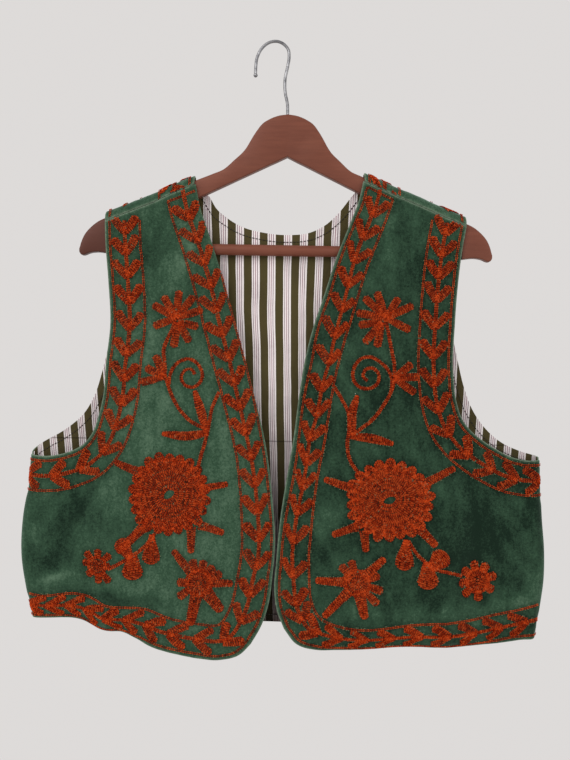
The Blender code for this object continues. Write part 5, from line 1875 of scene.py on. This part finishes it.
@dataclass
class BackPanel:
    """The velvet back with its borders, and its striped, topstitched lining."""

    face: BackFace
    velvet: Material
    lining: Material
    thread: Material
    sewing: Material
    outline_step: float = 3.2
    grid_step: float = 4.6
    velvet_thickness: float = 1.6
    puff: float = 0.5
    lining_thickness: float = 1.0
    topstitch_inset: float = 8.0
    topstitch_pitch: float = 3.4
    topstitch_share: float = 0.62
    band: Band = Band()

    def build(self) -> None:
        """Makes the back's borders, its velvet, and the lining with its topstitching."""
        outline = self.face.outline(self.outline_step)
        lines = self.face.lines(self.outline_step)
        self.build_velvet(outline, self.build_borders(outline, lines))
        self.build_lining(outline)
        self.build_topstitch(outline, lines)

    def build_velvet(self, outline: Array, stitched: Array) -> None:
        """The velvet wall of the back."""
        shell = Shell(self.face, outline, 0.0, self.velvet_thickness, self.grid_step)
        away = nearest(shell.flat, stitched)
        puff = self.puff * smooth_step((away - PUFF_START) / PUFF_REACH)
        piece = shell.build("velvet_back_cloth", "velvet", self.velvet, puff)
        shell.mark_pile(piece, away)
        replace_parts(piece, "velvet_back")

    def build_lining(self, outline: Array) -> None:
        """The lining behind the velvet, which rests on the hanger's arms."""
        top = -self.velvet_thickness - SEAM_GAP
        shell = Shell(self.face, outline, top, self.lining_thickness, self.grid_step, 0.5)
        piece = shell.build("lining_back_cloth", "lining", self.lining)
        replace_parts(piece, "lining_back")

    def build_borders(self, outline: Array, lines: Lines) -> Array:
        """The borders along the back's edges, and where their links start."""
        starts = []
        for number, (name, side) in enumerate(BACK_EDGES.items(), 900):
            on = Stitching(self.face, outline, np.random.default_rng(number))
            self.band.lay(on, lines[name], side, Pairs(8.0))
            on.build(f"stitched_back_{name}", "thread", self.thread)
            starts.append(on.placed()[0])
        return np.concatenate(starts)

    def build_topstitch(self, outline: Array, lines: Lines) -> None:
        """The running stitch on the lining, in from its edges."""
        lift = self.velvet_thickness + SEAM_GAP + 0.85
        on = Stitching(InnerSide(self.face), outline, np.random.default_rng(77), 3.0, 0.8, lift)
        for name, side in BACK_EDGES.items():
            count = max(2, round(arc_lengths(lines[name])[-1] / self.topstitch_pitch))
            points = resampled(inset_line(lines[name], side * self.topstitch_inset), count)
            for start, end in zip(points[:-1], points[1:]):
                on.row(np.array([start, start + (end - start) * self.topstitch_share]), 0.5)
        on.build("topstitch_back", "lining", self.sewing)


@dataclass(frozen=True)
class InnerSide(Face):
    """The other side of a draped face: what is lifted goes inwards."""

    outer: Face

    @property
    def facing(self) -> float:
        """The inner side looks the other way."""
        return -self.outer.facing

    def place(self, flat: Array) -> Array:
        """The same places as the outer face's."""
        return self.outer.place(flat)


@dataclass
class Hanger:
    """The hanger: a wooden arch and bar, and the wire hook that it all hangs by."""

    wood: Material
    wire: Material
    half_thickness: float = 6.0
    top_rounding: float = 3.8
    underside_rounding: float = 1.5
    bar_radius: float = 6.0
    bar_height: float = -225.0
    bar_end: float = 189.7
    wire_radius: float = 1.65
    bead_radius: float = 2.3
    # The painted shade's strength, start and fade: at one end, and under the arms.
    painted_end_shade: Triple = (0.75, 186.0, 14.0)
    painted_underside_shade: Triple = (0.30, 112.0, 16.0)
    low_slope: float = 0.5
    # Across, the wood's top and its underside.
    sections: Table = (
        (0, -78, -124), (10, -79.5, -129), (20, -83.5, -133.7), (28, -89, -137.6), (35, -98.5, -141),
        (46, -117, -146.3), (57, -128, -151.6), (68, -138, -157), (80, -143.5, -162.8), (96, -150, -170.6),
        (140, -169.2, -191.9), (189.8, -191, -216.2),
    )
    ends: Table = (
        (190.2, -191.1, -231.5), (203, -197, -230), (211, -203.5, -231), (217.5, -211.5, -233.5),
        (221, -220, -233), (222.5, -226, -230.5),
    )
    # The hook's line: across and height.
    route: Table = (
        (-36, -38), (-36, -28), (-34.5, -16), (-29, -5.5), (-20.5, 0.6), (-13, 1.4), (-6, -1.5), (-1, -7.5),
        (0, -15), (-1.5, -26), (-4, -40), (-3.5, -54), (-1, -66), (-0.5, -77.7),
    )

    def build(self) -> None:
        """Makes the three pieces of the hanger."""
        self.build_arch()
        self.build_bar()
        self.build_hook()

    def piece(self, name: str, form: Form, slot: str, material: Material) -> Piece:
        """A piece of the hanger, smooth but for its corners."""
        piece = mesh_piece(name, *form, slot, material)
        piece.data.set_sharp_from_angle(angle=SHARP_ANGLE)
        return piece

    def stations(self) -> Array:
        """Across, top and underside at close stations along one arm."""
        inner = np.asarray(self.sections, float)
        at = np.concatenate([np.linspace(0.0, 100.0, 61), np.linspace(104.0, 189.8, 22)])
        smooth = np.stack([at, *(eased(at, inner[:, 0], inner[:, k]) for k in (1, 2))], axis=1)
        outer = np.asarray(self.ends, float)
        return np.concatenate([smooth, smooth_line(outer, 2.0)])

    def build_arch(self) -> None:
        """The arch: a rounded section carried from one arm's tip to the other's."""
        arm = self.stations()
        stations = np.concatenate([arm[:0:-1] * np.array([-1.0, 1.0, 1.0]), arm])
        points, faces = tube(np.stack([self.section(*station) for station in stations]))
        piece = self.piece("hanger_arch_wood", (points, faces), "wood", self.wood)
        across, height = points[:, 0], points[:, 2]
        # Painted shade on the arch's corners: darker past one end, and under the arms below a sloping line.
        (end, end_start, end_fade), (low, low_start, low_fade) = self.painted_end_shade, self.painted_underside_shade
        stain = end * smooth_step((-across - end_start) / end_fade)
        under = -self.low_slope * np.abs(across) - low_start - height
        stain = stain + low * smooth_step(under / low_fade)
        point_values(piece, "stain", np.clip(stain, 0.0, 1.0))
        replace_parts(piece, "hanger_arch")

    def section(self, across: float, top: float, underside: float) -> Array:
        """One section of the wood: a rectangle, its corners rounded more on top."""
        room = (top - underside) / 2
        over, under = min(self.top_rounding, room), min(self.underside_rounding, room)
        corners = ((-1, 1, over, 180), (1, 1, over, 90), (1, -1, under, 0), (-1, -1, under, -90))
        ring = []
        for sideways, upward, radius, start in corners:
            turn = np.radians(np.linspace(start, start - 90, 6))
            middle_z = top - radius if upward > 0 else underside + radius
            y = sideways * (self.half_thickness - radius) + radius * np.cos(turn)
            z = middle_z + radius * np.sin(turn)
            ring.append(np.stack([np.full(6, across), y, z], axis=1))
        return np.concatenate(ring)

    def build_bar(self) -> None:
        """The round bar across the hanger."""
        route = np.zeros((25, 3))
        route[:, 0] = np.linspace(-self.bar_end, self.bar_end, 25)
        route[:, 2] = self.bar_height
        form = tube(wire_rings(route, self.bar_radius, 32))
        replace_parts(self.piece("hanger_bar_wood", form, "wood", self.wood), "hanger_bar")

    def build_hook(self) -> None:
        """The wire hook, whose radius swells on a half circle to a bead at its free end."""
        line = smooth_line(self.route, 0.8)
        route = np.stack([line[:, 0], np.zeros(len(line)), line[:, 1]], axis=1)
        from_end = arc_lengths(line)
        bead = np.sqrt(np.clip(self.bead_radius**2 - (from_end - self.bead_radius) ** 2, 0.0, None))
        radius = np.maximum(bead, np.where(from_end < self.bead_radius, 0.5, self.wire_radius))
        form = tube(wire_rings(route, radius, 16))
        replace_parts(self.piece("hanger_hook_wire", form, "wire", self.wire), "hanger_hook")


# ---- the studio ----
@dataclass(frozen=True)
class Studio:
    """The pale floor, the soft light and the camera."""

    backdrop: Colour = (0.728, 0.706, 0.694)
    floor_height: float = -1.9
    floor_radius: float = 2.9
    floor_sides: int = 96
    camera_place: Triple = (0.0171, -1.15, -0.365)
    aim: Triple = (0.015, 0.0, -0.38)
    lens: float = 50.3
    roll_degrees: float = 1.0

    def build(self) -> None:
        """Makes the whole setting."""
        self.build_world()
        self.build_floor()
        self.build_lights()
        self.build_camera()
        scene = bpy.context.scene
        scene.view_settings.view_transform = "Standard"
        scene.view_settings.look = "None"

    def build_world(self) -> None:
        """Even light of the backdrop's colour from all round."""
        world = bpy.data.worlds.new("studio")
        world.use_nodes = True
        background = world.node_tree.nodes["Background"]
        background.inputs["Color"].default_value = (*self.backdrop, 1.0)
        background.inputs["Strength"].default_value = 1.0
        bpy.context.scene.world = world

    def build_floor(self) -> None:
        """A round pale floor."""
        turn = np.linspace(0.0, math.tau, self.floor_sides, endpoint=False)
        rim = np.stack([np.cos(turn), np.sin(turn)], axis=1) * self.floor_radius
        points = [(0.0, 0.0, self.floor_height), *((x, y, self.floor_height) for x, y in rim.tolist())]
        corners = range(1, self.floor_sides + 1)
        mesh = bpy.data.meshes.new("floor")
        mesh.from_pydata(points, [], [(0, k, k % self.floor_sides + 1) for k in corners])
        floor = new_object("floor", mesh)
        nodes = Nodes("floor_plain")
        mesh.materials.append(nodes.finish(Base_Color=(0.72, 0.70, 0.68), Roughness=0.9))

    def build_lights(self) -> None:
        """A large soft key from the front left, and a weaker fill from the right."""
        self.area_light("key", (-1.5, -2.2, 1.1), 1.8, 34.0)
        self.area_light("fill", (1.9, -1.8, 0.1), 1.6, 9.0)

    def area_light(self, name: str, place: Triple, size: float, power: float) -> None:
        """A square area light aimed at the waistcoat."""
        data = bpy.data.lights.new(name, "AREA")
        data.size = size
        data.energy = power
        light = new_object(name, data)
        light.location = place
        towards = Vector(self.aim) - Vector(place)
        light.rotation_euler = towards.to_track_quat("-Z", "Y").to_euler()

    def build_camera(self) -> None:
        """The camera, level in front of the waistcoat and turned a little about its sight."""
        data = bpy.data.cameras.new("camera")
        data.lens = self.lens
        data.sensor_width = 36.0
        camera = new_object("camera", data)
        upright = Matrix.Rotation(math.radians(90.0), 4, "X")
        turn = upright @ Matrix.Rotation(math.radians(self.roll_degrees), 4, "Z")
        camera.matrix_world = Matrix.Translation(self.camera_place) @ turn
        bpy.context.scene.camera = camera


def main() -> None:
    """Builds the waistcoat, its hanger and the studio."""
    velvet = VelvetFinish().material()
    lining = LiningFinish().material()
    thread = ThreadFinish().material()
    sewing = PlainThreadFinish("sewing_thread", (0.05, 0.04, 0.03)).material()
    Hanger(WoodFinish().material(), WireFinish().material()).build()
    FrontPanel(RIGHT, RIGHT_MOTIFS, velvet, lining, thread, 1).build()
    FrontPanel(LEFT, LEFT_MOTIFS, velvet, lining, thread, 2).build()
    BackPanel(BACK, velvet, lining, thread, sewing).build()
    Studio().build()


if __name__ == "__main__":
    logging.basicConfig(level=logging.INFO, format="%(message)s")
    main()
